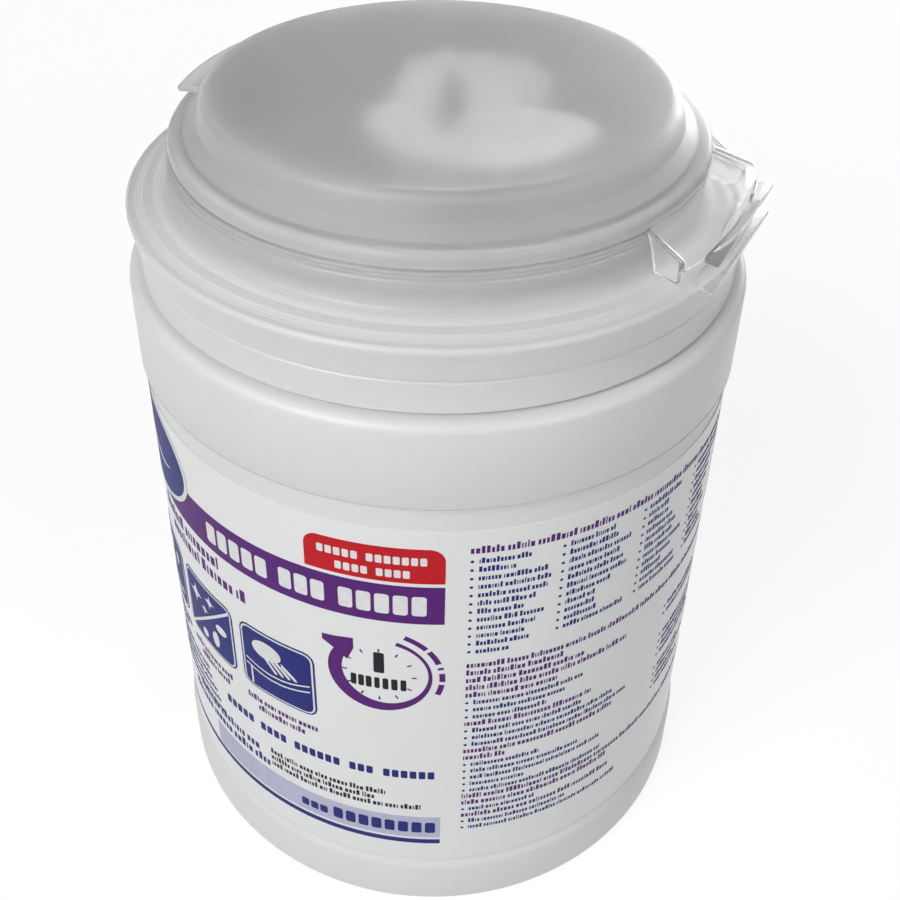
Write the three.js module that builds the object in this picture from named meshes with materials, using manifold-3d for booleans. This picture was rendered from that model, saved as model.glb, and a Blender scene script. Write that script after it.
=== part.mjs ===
// Disinfecting wipes canister: moulded tub, wrap label, lift-off lid and flip cap.
// Millimetres, +Z up. The origin is the centre of the tub's flat base.
// The thumb tab points along -Y and the flip cap's living hinge lies at +Y.
// A bearing is an angle about Z in degrees, 0 at -Y and growing towards +X.
import * as THREE from 'three';
import { mergeVertices } from 'three/addons/utils/BufferGeometryUtils.js';
import Module from 'manifold-3d';

const wasm = await Module();
wasm.setup();

// Round work
const FACETS = 64; // sides of every turned piece
const AXIS_STEP = 5; // bearing step of a sector's arcs

// Tub
const TUB_RADIUS = 65; // bumper and shoulder band
const BASE_FILLET = 1.8;
const BUMPER_HEIGHT = 13.6;
const BUMPER_SLOPE = 1; // height of the ledge above the bumper
const LABEL_RECESS = 0.95; // depth of the panel behind the bumper and the band
const BAND_BOTTOM = 124.9;
const BAND_HEIGHT = 19.7; // band with its rounded shoulder
const SHOULDER_FILLET = 1.8;
const TUB_WALL = 1.65;
const FLOOR_THICKNESS = 1.8;
const SHOULDER_WIDTH = 4.4; // band in to the neck
const NECK_HEIGHT = 12.4;
const NECK_WALL = 1.6;

// Label and its print
const LABEL_GAP = 0.05; // glue line, and the step between printed layers
const LABEL_THICKNESS = 0.2;
const LABEL_FOOT_MARGIN = 1.6; // label above the ledge
const LABEL_HEAD_MARGIN = 5.4; // label below the band
const INK_THICKNESS = 0.1;

// Lid
const LID_FIT = 0.4; // skirt to neck
const LID_REST = 0.3; // seal land above the neck's rim
const SKIRT_WALL = 1.1;
const SKIRT_CLEARANCE = 0.7; // skirt above the tub's shoulder
const SKIRT_HEIGHT = 7.5; // skirt up to the lip
const LIP_OVERHANG = 1.6; // lip beyond the skirt
const LIP_HEIGHT = 7.3; // lip up to the outer edge of the collar's sloped top
const COLLAR_WIDTH = 8.8; // lip in to the turret
const COLLAR_RISE = 1.6; // collar's slope up to the turret's foot
const TURRET_HEIGHT = 7.3; // turret's foot up to the top of its seat ring
const SEAT_INSET = 0.3; // seat ring inside the turret
const SEAT_WIDTH = 2.4;
const WELL_DEPTH = 4.8; // seat ring down to the deck
const DECK_THICKNESS = 1.1;
const ORIFICE_RADIUS = 10;
const SLIT_COUNT = 6;
const SLIT_LENGTH = 7;
const SLIT_WIDTH = 1.2;
const LID_PLATE_THICKNESS = 1.2;
const LID_PLATE_RISE = 0.5; // plate above the collar's outer edge
const LID_PLATE_MARGIN = 0.2; // plate beyond the tab's flange, each side

// Flip cap
const CAP_SEAT_GAP = 0.3;
const CAP_INSET = 0.65; // cap's edge inside the turret
const CAP_EDGE_HEIGHT = 3;
const CAP_FLANGE_WIDTH = 2.9;
const CAP_WALL = 1.1;
const CAP_STEP = 5.75; // cap's edge in to the crease
const CREASE_HEIGHT = 6.4; // crease above the seat ring
const DOME_HEIGHT = 13; // dome's middle above the seat ring
const PLUG_GAP = 0.8; // plug ring inside the well
const PLUG_DEPTH = 1.6;
const SHELF_THICKNESS = 1.3;
const SHELF_HALF_ANGLE = 21;

// Thumb tab of the cap
const TAB_SETBACK = 0.3; // tab's lip inside the lid's lip
const TAB_HALF_ANGLE = 20;
const TAB_RISE = 2; // tab's root above the seat ring
const TAB_DROP = 3; // root down to the outer lip
const TAB_THICKNESS = 1.1;
const TAB_SIDE_ANGLE = 1; // bearing width of a side wall
const TAB_FLANGE_HEIGHT = 4.7; // flange above the lid's plate
const TAB_FLANGE_HALF_WIDTH = 17.2;
const PLATE_OVERHANG = 0.7; // straight front edges of both plates beyond the lid's lip

// Living hinge
const HINGE_HALF_ANGLE = 14;
const HINGE_WIDTH = 1.2;
const HINGE_HEIGHT = 3.2;

// Contents
const ROLL_CLEARANCE = 1; // roll to the neck that it passes through
const ROLL_CORE_RADIUS = 13;
const ROLL_HEADROOM = 7; // roll's top below the neck's rim
const TAIL_RADIUS = 3.3;
const TAIL_DEPTH = 32; // roll's top down to where the pulled wipe leaves its core
const TUFT_RADIUS = 23;
const TUFT_HEIGHT = 13.5;
const TUFT_LIFT = 0.3;

// Derived sizes
const PANEL_RADIUS = TUB_RADIUS - LABEL_RECESS;
const BAND_TOP = BAND_BOTTOM + BAND_HEIGHT;
const NECK_RADIUS = TUB_RADIUS - SHOULDER_WIDTH;
const NECK_TOP = BAND_TOP + NECK_HEIGHT;
const INNER_RADIUS = PANEL_RADIUS - TUB_WALL;
const LABEL_BOTTOM = BUMPER_HEIGHT + BUMPER_SLOPE + LABEL_FOOT_MARGIN;
const LABEL_TOP = BAND_BOTTOM - LABEL_HEAD_MARGIN;
const SKIRT_INNER = NECK_RADIUS + LID_FIT;
const SKIRT_RADIUS = SKIRT_INNER + SKIRT_WALL;
const SKIRT_BOTTOM = BAND_TOP + SKIRT_CLEARANCE;
const LAND_HEIGHT = NECK_TOP + LID_REST;
const LIP_RADIUS = SKIRT_RADIUS + LIP_OVERHANG;
const LIP_BOTTOM = SKIRT_BOTTOM + SKIRT_HEIGHT;
const COLLAR_TOP = LIP_BOTTOM + LIP_HEIGHT;
const TURRET_RADIUS = LIP_RADIUS - COLLAR_WIDTH;
const TURRET_FOOT = COLLAR_TOP + COLLAR_RISE;
const SEAT_HEIGHT = TURRET_FOOT + TURRET_HEIGHT;
const SEAT_OUTER = TURRET_RADIUS - SEAT_INSET;
const WELL_RADIUS = SEAT_OUTER - SEAT_WIDTH;
const DECK_TOP = SEAT_HEIGHT - WELL_DEPTH;
const DECK_BOTTOM = DECK_TOP - DECK_THICKNESS;
const LID_PLATE_TOP = COLLAR_TOP + LID_PLATE_RISE;
const LID_PLATE_HALF_WIDTH = TAB_FLANGE_HALF_WIDTH + LID_PLATE_MARGIN;
const CAP_RADIUS = TURRET_RADIUS - CAP_INSET;
const CREASE_RADIUS = CAP_RADIUS - CAP_STEP;
const CAP_BOTTOM = SEAT_HEIGHT + CAP_SEAT_GAP;
const CREASE_Z = SEAT_HEIGHT + CREASE_HEIGHT;
const DOME_TOP = SEAT_HEIGHT + DOME_HEIGHT;
const TAB_ROOT_Z = SEAT_HEIGHT + TAB_RISE;
const TAB_LIP_Z = TAB_ROOT_Z - TAB_DROP;
const TAB_FLANGE_Z = LID_PLATE_TOP + TAB_FLANGE_HEIGHT;
const TAB_RADIUS = LIP_RADIUS - TAB_SETBACK;
const TAB_FRONT = LIP_RADIUS + PLATE_OVERHANG;
const ROLL_RADIUS = NECK_RADIUS - NECK_WALL - ROLL_CLEARANCE;
const ROLL_TOP = NECK_TOP - ROLL_HEADROOM;
const TAIL_START = ROLL_TOP - TAIL_DEPTH;

// Materials, one for each kind of surface
const FINISHES = {
  tub: { color: 0xe4e4e5, roughness: 0.42 },
  frosted: { color: 0xdadbdd, roughness: 0.35 },
  label: { color: 0xefeff1, roughness: 0.3 },
  wipe: { color: 0xf4f4f2, roughness: 0.9 },
  navy: { color: 0x232a7d, roughness: 0.35 },
  purple: { color: 0x62237d, roughness: 0.35 },
  red: { color: 0xcd2026, roughness: 0.35 },
  lavender: { color: 0xc3c3dc, roughness: 0.35 },
};

// A geometry with shared corners, no slivers and its faces pointing out
function welded(geometry) {
  const bare = geometry.index ? geometry.toNonIndexed() : geometry.clone();
  bare.deleteAttribute('normal');
  bare.deleteAttribute('uv');
  const merged = mergeVertices(bare, 1e-4);
  const kept = [];
  const index = merged.index.array;
  for (let i = 0; i < index.length; i += 3) {
    const [a, b, c] = [index[i], index[i + 1], index[i + 2]];
    if (a !== b && b !== c && c !== a) kept.push(a, b, c);
  }
  merged.setIndex(kept);
  if (signedVolume(merged) < 0) turnInsideOut(merged);
  return merged;
}

function signedVolume(geometry) {
  const at = geometry.attributes.position;
  const index = geometry.index.array;
  const [a, b, c] = [new THREE.Vector3(), new THREE.Vector3(), new THREE.Vector3()];
  let volume = 0;
  for (let i = 0; i < index.length; i += 3) {
    a.fromBufferAttribute(at, index[i]);
    b.fromBufferAttribute(at, index[i + 1]);
    c.fromBufferAttribute(at, index[i + 2]);
    volume += a.dot(b.cross(c)) / 6;
  }
  return volume;
}

function turnInsideOut(geometry) {
  const index = geometry.index.array;
  for (let i = 0; i < index.length; i += 3) {
    [index[i], index[i + 1]] = [index[i + 1], index[i]];
  }
}

// Solid for joining and cutting, from a closed geometry
function solidOf(geometry) {
  const closed = welded(geometry);
  return new wasm.Manifold(new wasm.Mesh({
    numProp: 3,
    vertProperties: new Float32Array(closed.attributes.position.array),
    triVerts: new Uint32Array(closed.index.array),
  }));
}

function geometryOf(solid) {
  const mesh = solid.getMesh();
  const geometry = new THREE.BufferGeometry();
  geometry.setAttribute('position', new THREE.BufferAttribute(mesh.vertProperties, 3));
  geometry.setIndex(new THREE.BufferAttribute(mesh.triVerts, 1));
  return geometry;
}

function joined(base, pieces) {
  return pieces.reduce((sum, piece) => sum.add(solidOf(piece)), solidOf(base));
}

// A profile of [radius, height] pairs turned about Z
function turned(profile) {
  const points = profile.map(([radius, height]) => new THREE.Vector2(radius, height));
  return welded(new THREE.LatheGeometry(points, FACETS).rotateX(Math.PI / 2));
}

// The same for a ring, whose profile runs back to its start
function turnedRing(profile) {
  return turned([...profile, profile[0]]);
}

function bearingPoint(radius, bearing) {
  const turn = THREE.MathUtils.degToRad(bearing);
  return new THREE.Vector2(radius * Math.sin(turn), -radius * Math.cos(turn));
}

// A flat piece of a ring between two bearings, whose two faces may slope outwards
function sector({ inner, outer, from, to, top, bottom, topOuter = top, bottomOuter = bottom }) {
  const steps = Math.max(1, Math.round((to - from) / AXIS_STEP));
  const bearings = Array.from({ length: steps + 1 }, (_, i) => from + ((to - from) * i) / steps);
  const outline = [
    ...bearings.map((bearing) => bearingPoint(outer, bearing)),
    ...bearings.reverse().map((bearing) => bearingPoint(inner, bearing)),
  ];
  const plate = new THREE.ExtrudeGeometry(new THREE.Shape(outline), { depth: 1, bevelEnabled: false });
  const at = plate.attributes.position;
  const middle = (inner + outer) / 2;
  for (let i = 0; i < at.count; i += 1) {
    const outside = Math.hypot(at.getX(i), at.getY(i)) > middle;
    const high = outside ? topOuter : top;
    const low = outside ? bottomOuter : bottom;
    at.setZ(i, at.getZ(i) > 0.5 ? high : low);
  }
  return welded(plate);
}

// A plate with a straight front edge, narrower at its root
function frontPlate({ root, front, halfWidth, top, thickness }) {
  const rootHalf = (halfWidth * root) / front;
  const outline = [
    new THREE.Vector2(-rootHalf, -root),
    new THREE.Vector2(-halfWidth, -front),
    new THREE.Vector2(halfWidth, -front),
    new THREE.Vector2(rootHalf, -root),
  ];
  const shape = new THREE.Shape(outline);
  const plate = new THREE.ExtrudeGeometry(shape, { depth: thickness, bevelEnabled: false });
  return welded(plate.translate(0, 0, top - thickness));
}

// Moulded tub with its neck, one open-mouthed solid
function tubGeometry() {
  const fillet = BASE_FILLET;
  const round = SHOULDER_FILLET;
  const neckInner = NECK_RADIUS - NECK_WALL;
  return turned([
    [0, 0],
    [TUB_RADIUS - fillet, 0],
    [TUB_RADIUS - fillet * 0.3, fillet * 0.3],
    [TUB_RADIUS, fillet],
    [TUB_RADIUS, BUMPER_HEIGHT],
    [PANEL_RADIUS, BUMPER_HEIGHT + BUMPER_SLOPE],
    [PANEL_RADIUS, BAND_BOTTOM],
    [TUB_RADIUS, BAND_BOTTOM],
    [TUB_RADIUS, BAND_TOP - round],
    [TUB_RADIUS - round * 0.3, BAND_TOP - round * 0.3],
    [TUB_RADIUS - round, BAND_TOP],
    [NECK_RADIUS, BAND_TOP],
    [NECK_RADIUS, NECK_TOP],
    [neckInner, NECK_TOP],
    [neckInner, BAND_TOP - NECK_WALL],
    [INNER_RADIUS, BAND_TOP - NECK_WALL - (INNER_RADIUS - neckInner) / 2],
    [INNER_RADIUS, FLOOR_THICKNESS],
    [0, FLOOR_THICKNESS],
  ]);
}

function labelGeometry() {
  const inner = PANEL_RADIUS + LABEL_GAP;
  const outer = inner + LABEL_THICKNESS;
  return turnedRing([
    [inner, LABEL_BOTTOM],
    [outer, LABEL_BOTTOM],
    [outer, LABEL_TOP],
    [inner, LABEL_TOP],
  ]);
}

// Lid's section: skirt, lip, sloped collar, turret with seat ring, well and deck
function lidGeometry() {
  const lipHeight = COLLAR_TOP - LIP_BOTTOM;
  const section = turnedRing([
    [SKIRT_RADIUS, SKIRT_BOTTOM],
    [SKIRT_RADIUS, LIP_BOTTOM - 0.4],
    [SKIRT_RADIUS + 0.6, LIP_BOTTOM],
    [LIP_RADIUS - 0.8, LIP_BOTTOM + lipHeight * 0.45],
    [LIP_RADIUS - 0.2, LIP_BOTTOM + lipHeight * 0.78],
    [LIP_RADIUS, LIP_BOTTOM + lipHeight * 0.87],
    [LIP_RADIUS - 0.3, COLLAR_TOP - 0.45],
    [LIP_RADIUS - 1, COLLAR_TOP - 0.25],
    [LIP_RADIUS - 2, COLLAR_TOP],
    [TURRET_RADIUS + 3.6, COLLAR_TOP + COLLAR_RISE / 2],
    [TURRET_RADIUS + 1.4, TURRET_FOOT],
    [TURRET_RADIUS + 0.6, TURRET_FOOT + 0.9],
    [TURRET_RADIUS + 0.15, TURRET_FOOT + 2.8],
    [TURRET_RADIUS, SEAT_HEIGHT - 1.6],
    [SEAT_OUTER, SEAT_HEIGHT - 1.3],
    [SEAT_OUTER, SEAT_HEIGHT - 0.4],
    [SEAT_OUTER - 0.4, SEAT_HEIGHT],
    [WELL_RADIUS, SEAT_HEIGHT],
    [WELL_RADIUS, DECK_TOP + 0.8],
    [WELL_RADIUS - 0.8, DECK_TOP],
    [ORIFICE_RADIUS, DECK_TOP],
    [ORIFICE_RADIUS, DECK_BOTTOM],
    [TURRET_RADIUS - 1.6, DECK_BOTTOM],
    [TURRET_RADIUS - 1, DECK_BOTTOM - 0.9],
    [TURRET_RADIUS + 0.3, TURRET_FOOT - 1.3],
    [TURRET_RADIUS + 2.7, TURRET_FOOT - 2.1],
    [SKIRT_INNER - 2.2, LAND_HEIGHT],
    [SKIRT_INNER, LAND_HEIGHT],
    [SKIRT_INNER, SKIRT_BOTTOM],
  ]);
  const plate = frontPlate({
    root: TURRET_RADIUS + 4,
    front: TAB_FRONT,
    halfWidth: LID_PLATE_HALF_WIDTH,
    top: LID_PLATE_TOP,
    thickness: LID_PLATE_THICKNESS,
  });
  const hinge = sector({
    inner: TURRET_RADIUS - 0.5,
    outer: TURRET_RADIUS + HINGE_WIDTH,
    from: 180 - HINGE_HALF_ANGLE,
    to: 180 + HINGE_HALF_ANGLE,
    top: SEAT_HEIGHT - 0.1,
    bottom: SEAT_HEIGHT - 0.1 - HINGE_HEIGHT,
  });
  let lid = joined(section, [plate, hinge]);
  for (let i = 0; i < SLIT_COUNT; i += 1) {
    lid = lid.subtract(solidOf(slitGeometry((i * 360) / SLIT_COUNT)));
  }
  return geometryOf(lid);
}

// One of the slits that run out from the orifice
function slitGeometry(bearing) {
  const reach = ORIFICE_RADIUS + SLIT_LENGTH;
  const slit = new THREE.BoxGeometry(SLIT_WIDTH, reach, DECK_THICKNESS * 3);
  slit.translate(0, -reach / 2, (DECK_TOP + DECK_BOTTOM) / 2);
  return slit.rotateZ(THREE.MathUtils.degToRad(bearing));
}

// Flip cap: domed shell with plug ring, hinge shelf and thumb tab
function capGeometry() {
  const flangeTop = CAP_BOTTOM + CAP_EDGE_HEIGHT + 0.7;
  const flangeInner = CAP_RADIUS - CAP_FLANGE_WIDTH;
  const plugOuter = WELL_RADIUS - PLUG_GAP;
  const domeEdge = CREASE_RADIUS - 3.3;
  const shell = turned([
    [0, DOME_TOP],
    [domeEdge * 0.33, DOME_TOP - 0.12],
    [domeEdge * 0.67, DOME_TOP - 0.55],
    [domeEdge, DOME_TOP - 1.5],
    [CREASE_RADIUS - 1.8, DOME_TOP - 2.1],
    [CREASE_RADIUS - 1.1, DOME_TOP - 2.8],
    [CREASE_RADIUS - 0.6, DOME_TOP - 4.1],
    [CREASE_RADIUS, CREASE_Z],
    [flangeInner, flangeTop],
    [CAP_RADIUS - 0.6, flangeTop - 0.7],
    [CAP_RADIUS, flangeTop - 1.6],
    [CAP_RADIUS, CAP_BOTTOM + 0.4],
    [CAP_RADIUS - 0.6, CAP_BOTTOM],
    [CAP_RADIUS - 1.9, CAP_BOTTOM],
    [CAP_RADIUS - 1.9, flangeTop - 1.6],
    [plugOuter, flangeTop - 1.6],
    [plugOuter, SEAT_HEIGHT - PLUG_DEPTH],
    [plugOuter - CAP_WALL, SEAT_HEIGHT - PLUG_DEPTH],
    [plugOuter - CAP_WALL, flangeTop - 1],
    [CREASE_RADIUS - CAP_WALL, CREASE_Z - 0.7],
    [CREASE_RADIUS - CAP_WALL - 0.5, DOME_TOP - 4.5],
    [CREASE_RADIUS - CAP_WALL - 1.1, DOME_TOP - 3.5],
    [domeEdge, DOME_TOP - 1.5 - CAP_WALL],
    [domeEdge * 0.67, DOME_TOP - 0.55 - CAP_WALL],
    [0, DOME_TOP - CAP_WALL],
  ]);
  return geometryOf(joined(shell, [hingeShelf(), ...thumbTab()]));
}

function hingeShelf() {
  return sector({
    inner: CREASE_RADIUS - 0.8,
    outer: CAP_RADIUS,
    from: 180 - SHELF_HALF_ANGLE,
    to: 180 + SHELF_HALF_ANGLE,
    top: CREASE_Z,
    bottom: CREASE_Z - SHELF_THICKNESS,
  });
}

// Hollow tab: sloped top, two side walls, front lip and a straight-edged flange
function thumbTab() {
  const root = CAP_RADIUS - 0.6;
  const rootZ = TAB_ROOT_Z;
  const slab = sector({
    inner: root,
    outer: TAB_RADIUS,
    from: -TAB_HALF_ANGLE,
    to: TAB_HALF_ANGLE,
    top: rootZ,
    topOuter: TAB_LIP_Z,
    bottom: rootZ - TAB_THICKNESS,
    bottomOuter: TAB_LIP_Z - TAB_THICKNESS,
  });
  const lip = sector({
    inner: TAB_RADIUS - TAB_THICKNESS,
    outer: TAB_RADIUS,
    from: -TAB_HALF_ANGLE,
    to: TAB_HALF_ANGLE,
    top: TAB_LIP_Z,
    bottom: TAB_FLANGE_Z,
  });
  const sides = [-TAB_HALF_ANGLE, TAB_HALF_ANGLE - TAB_SIDE_ANGLE].map((from) => sector({
    inner: TURRET_RADIUS + 2.4,
    outer: TAB_RADIUS,
    from,
    to: from + TAB_SIDE_ANGLE,
    top: rootZ - TAB_THICKNESS * 1.5,
    topOuter: TAB_LIP_Z - TAB_THICKNESS * 0.5,
    bottom: TURRET_FOOT + 0.7,
  }));
  const flange = frontPlate({
    root: TAB_RADIUS - 1.9,
    front: TAB_FRONT,
    halfWidth: TAB_FLANGE_HALF_WIDTH,
    top: TAB_FLANGE_Z + TAB_THICKNESS,
    thickness: TAB_THICKNESS,
  });
  return [slab, lip, flange, ...sides];
}

function rollGeometry() {
  return turnedRing([
    [ROLL_CORE_RADIUS, FLOOR_THICKNESS],
    [ROLL_RADIUS, FLOOR_THICKNESS],
    [ROLL_RADIUS, ROLL_TOP],
    [ROLL_CORE_RADIUS, ROLL_TOP],
  ]);
}

// The wipe that is pulled up the core, through the orifice, and lies on the deck
function wipeGeometry() {
  const rest = DECK_TOP + TUFT_LIFT;
  return turned([
    [0, TAIL_START],
    [TAIL_RADIUS * 0.8, TAIL_START + 1],
    [TAIL_RADIUS, TAIL_START + 8],
    [TAIL_RADIUS, rest + 1.4],
    [ORIFICE_RADIUS + 1.5, rest + 1.4],
    [ORIFICE_RADIUS + 3, rest],
    [TUFT_RADIUS * 0.85, rest + 0.8],
    [TUFT_RADIUS, rest + TUFT_HEIGHT * 0.35],
    [TUFT_RADIUS * 0.9, rest + TUFT_HEIGHT * 0.62],
    [TUFT_RADIUS * 0.6, rest + TUFT_HEIGHT * 0.88],
    [TUFT_RADIUS * 0.3, rest + TUFT_HEIGHT * 0.98],
    [0, rest + TUFT_HEIGHT],
  ]);
}

// Printed fields, each a thin solid bent over the label's facets.
// A field spans two bearings; its edges are heights, or functions of its middle bearing's offset.
function inkGeometry({ from, to, low, high, layer = 1 }) {
  const columns = fieldColumns(from, to);
  const inner = PANEL_RADIUS + LABEL_GAP + LABEL_THICKNESS + layer * LABEL_GAP
    + (layer - 1) * INK_THICKNESS;
  const field = new THREE.BoxGeometry(1, 1, 1, columns.length - 1, 1, 1);
  const at = field.attributes.position;
  const middle = (from + to) / 2;
  for (let i = 0; i < at.count; i += 1) {
    const bearing = columns[Math.round((at.getX(i) + 0.5) * (columns.length - 1))];
    const radius = at.getZ(i) > 0 ? inner + INK_THICKNESS : inner;
    const edge = at.getY(i) > 0 ? high : low;
    const height = typeof edge === 'function' ? edge(bearing - middle) : edge;
    const spot = facetPoint(radius, bearing);
    at.setXYZ(i, spot.x, spot.y, height);
  }
  return welded(field);
}

// Bearings of a field's corners, with every facet edge that it crosses
function fieldColumns(from, to) {
  const facet = 360 / FACETS;
  const columns = [from];
  for (let k = Math.ceil((from + 0.01) / facet); k * facet < to - 0.01; k += 1) {
    columns.push(k * facet - facet * 0.5, k * facet);
  }
  columns.push(to);
  return columns.filter((bearing) => bearing >= from);
}

// The point of the faceted ring at a bearing
function facetPoint(radius, bearing) {
  const facet = 360 / FACETS;
  const first = Math.floor(bearing / facet);
  const share = bearing / facet - first;
  const start = bearingPoint(radius, first * facet);
  return start.lerp(bearingPoint(radius, (first + 1) * facet), share);
}

// Half height of an ellipse at an offset from its middle
function ellipse(halfAngle, halfHeight) {
  return (offset) => halfHeight * Math.sqrt(Math.max(0.002, 1 - (offset / halfAngle) ** 2));
}

// Edge height of a box whose corners are rounded, at an offset from its middle
function roundedEdge(halfAngle, corner) {
  const cornerAngle = THREE.MathUtils.radToDeg(corner / PANEL_RADIUS);
  return (offset) => {
    const past = Math.max(0, Math.abs(offset) - (halfAngle - cornerAngle)) / cornerAngle;
    return corner * (1 - Math.sqrt(Math.max(0, 1 - past ** 2)));
  };
}

// Print: widths, insets, margins and pitches are bearing steps, heights and levels are millimetres.
// PANEL_GAP_BEARING is the middle of the gap between the front panel and the text panel.
const PANEL_GAP_BEARING = -60;
const FRONT_WIDTH = 88;
const BANNER_DROP = 14.3; // banner's top below the label's top
const BANNER_HEIGHT = 10.2;
const BANNER_WIDTH = 60;
const FLAG_WIDTH = 24.8;
const FLAG_HEIGHT = 9;
const FLAG_GAP = 0.9;
const FLAG_CORNER = 3;
const BADGE_HALF_ANGLE = 17;
const BADGE_HALF_HEIGHT = 11;
const BADGE_DROP = 12.1; // badge's middle below the label's top
const ICON_COUNT = 3;
const ICON_DROP = 39.7; // icons' top below the label's top
const ICON_SIZE = 19.8;
const ICON_PITCH = 19.5;
const ICON_INSET = 24.4; // first icon's edge from the panel's edge
const ICON_CORNER = 2.6;
const CLOCK_INSET = 11.7;
const CLOCK_DROP = 40.5; // clock's middle below the label's top
const CLOCK_RADIUS = 10.9;
const CLOCK_RING = 1.9;
const STRIP_RISE = 8.2; // strip above the label's foot
const STRIP_HEIGHT = 7.6;
const STRIP_WIDTH = 50;
const RULE_HEIGHT = 1.5;
const RULE_GAP = 0.8;
const TEXT_MARGIN = 4.2;
const TEXT_WIDTH = 76;
const TEXT_BAR = 1.6;
const HEADING_DROP = 5.7; // text panel's first bar below the label's top
const TEXT_BAR_RISES = [63.8, 53.4, 44.2, 33.4, 15.2, 7]; // the other bars above the label's foot
const CAPTION_DROP = 32.7; // first caption below the label's top
const CAPTION_RISES = [30, 21.8]; // the others above the label's foot
const CAPTION_WIDTH = 22;

function inkFields() {
  const edge = PANEL_GAP_BEARING;
  const bannerTo = edge;
  const bannerHigh = LABEL_TOP - BANNER_DROP;
  const bannerFrom = edge - BANNER_WIDTH;
  const fields = [];
  const add = (name, finish, spec) => fields.push({ name, finish, geometry: inkGeometry(spec) });
  add('print_banner', 'purple', {
    from: bannerFrom,
    to: bannerTo,
    low: bannerHigh - BANNER_HEIGHT,
    high: bannerHigh,
  });
  const flagRound = roundedEdge(FLAG_WIDTH / 2, FLAG_CORNER);
  const flagLow = bannerHigh + FLAG_GAP;
  add('print_flag', 'red', {
    from: edge - FLAG_WIDTH,
    to: edge,
    low: flagLow,
    high: (offset) => flagLow + FLAG_HEIGHT - flagRound(offset),
  });
  const badge = ellipse(BADGE_HALF_ANGLE, BADGE_HALF_HEIGHT);
  const badgeLevel = LABEL_TOP - BADGE_DROP;
  const badgeMiddle = bannerFrom - BADGE_HALF_ANGLE * 0.8;
  add('print_badge', 'navy', {
    from: badgeMiddle - BADGE_HALF_ANGLE,
    to: badgeMiddle + BADGE_HALF_ANGLE,
    low: (offset) => badgeLevel - badge(offset),
    high: (offset) => badgeLevel + badge(offset),
    layer: 2,
  });
  addIcons(add, edge);
  addClock(add, edge - CLOCK_INSET);
  const stripLow = LABEL_BOTTOM + STRIP_RISE;
  add('print_strip', 'lavender', {
    from: edge - STRIP_WIDTH,
    to: edge,
    low: stripLow,
    high: stripLow + STRIP_HEIGHT,
  });
  add('print_rule', 'navy', {
    from: edge - FRONT_WIDTH * 0.8,
    to: edge,
    low: stripLow - RULE_GAP - RULE_HEIGHT,
    high: stripLow - RULE_GAP,
  });
  addTextBars(add, edge);
  return fields;
}

function addIcons(add, edge) {
  const width = THREE.MathUtils.radToDeg(ICON_SIZE / PANEL_RADIUS);
  const round = roundedEdge(width / 2, ICON_CORNER);
  const high = LABEL_TOP - ICON_DROP;
  for (let i = 0; i < ICON_COUNT; i += 1) {
    const to = edge - ICON_INSET - i * ICON_PITCH;
    add(`print_icon_${i + 1}`, 'navy', {
      from: to - width,
      to,
      low: (offset) => high - ICON_SIZE + round(offset),
      high: (offset) => high - round(offset),
    });
  }
}

// Clock: a disc of ink with the dial laid over it
function addClock(add, middle) {
  const level = LABEL_TOP - CLOCK_DROP;
  const discs = [
    { name: 'print_clock', finish: 'purple', radius: CLOCK_RADIUS, layer: 1 },
    { name: 'print_clock_dial', finish: 'label', radius: CLOCK_RADIUS - CLOCK_RING, layer: 2 },
  ];
  for (const { name, finish, radius, layer } of discs) {
    const halfAngle = THREE.MathUtils.radToDeg(radius / PANEL_RADIUS);
    const disc = ellipse(halfAngle, radius);
    add(name, finish, {
      from: middle - halfAngle,
      to: middle + halfAngle,
      low: (offset) => level - disc(offset),
      high: (offset) => level + disc(offset),
      layer,
    });
  }
}

// Lines of small print, shown as plain bars
function addTextBars(add, edge) {
  const textLevels = [LABEL_TOP - HEADING_DROP, ...TEXT_BAR_RISES.map((rise) => LABEL_BOTTOM + rise)];
  const captionLevels = [LABEL_TOP - CAPTION_DROP, ...CAPTION_RISES.map((rise) => LABEL_BOTTOM + rise)];
  textLevels.forEach((level, i) => {
    const from = edge + TEXT_MARGIN;
    add(`print_line_${i + 1}`, 'navy', { from, to: from + TEXT_WIDTH, low: level, high: level + TEXT_BAR });
  });
  captionLevels.forEach((level, i) => {
    const to = edge - (i === 0 ? ICON_INSET + ICON_PITCH * 0.75 : 0);
    add(`print_caption_${i + 1}`, 'navy', {
      from: to - CAPTION_WIDTH,
      to,
      low: level,
      high: level + TEXT_BAR,
    });
  });
}

function piece(name, finish, geometry) {
  const material = new THREE.MeshStandardMaterial({ ...FINISHES[finish], metalness: 0 });
  const mesh = new THREE.Mesh(geometry, material);
  mesh.name = name;
  return mesh;
}

const canister = new THREE.Group();
canister.add(piece('tub', 'tub', tubGeometry()));
canister.add(piece('label', 'label', labelGeometry()));
for (const { name, finish, geometry } of inkFields()) {
  canister.add(piece(name, finish, geometry));
}
canister.add(piece('wipes_roll', 'wipe', rollGeometry()));

const lidGroup = new THREE.Group();
lidGroup.add(piece('lid', 'frosted', lidGeometry()));
lidGroup.add(piece('wipe_end', 'wipe', wipeGeometry()));

const capGroup = new THREE.Group();
capGroup.add(piece('flip_cap', 'frosted', capGeometry()));
lidGroup.add(capGroup);
canister.add(lidGroup);

export default canister;
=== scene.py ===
"""Disinfecting wipes canister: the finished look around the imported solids.

The tub, its label and print, the roll, the lid, the flip cap and the pulled wipe are modelled here as
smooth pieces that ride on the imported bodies. Lengths in this file are millimetres, bearings are degrees
about the upright axis, 0 at the thumb tab (-Y) and growing towards +X. Meshes are in metres.
"""

from __future__ import annotations

import logging
import math
import random
from dataclasses import dataclass, field
from enum import Enum
from functools import partial
from typing import Callable

import bpy
from mathutils import Matrix, Vector

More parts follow.
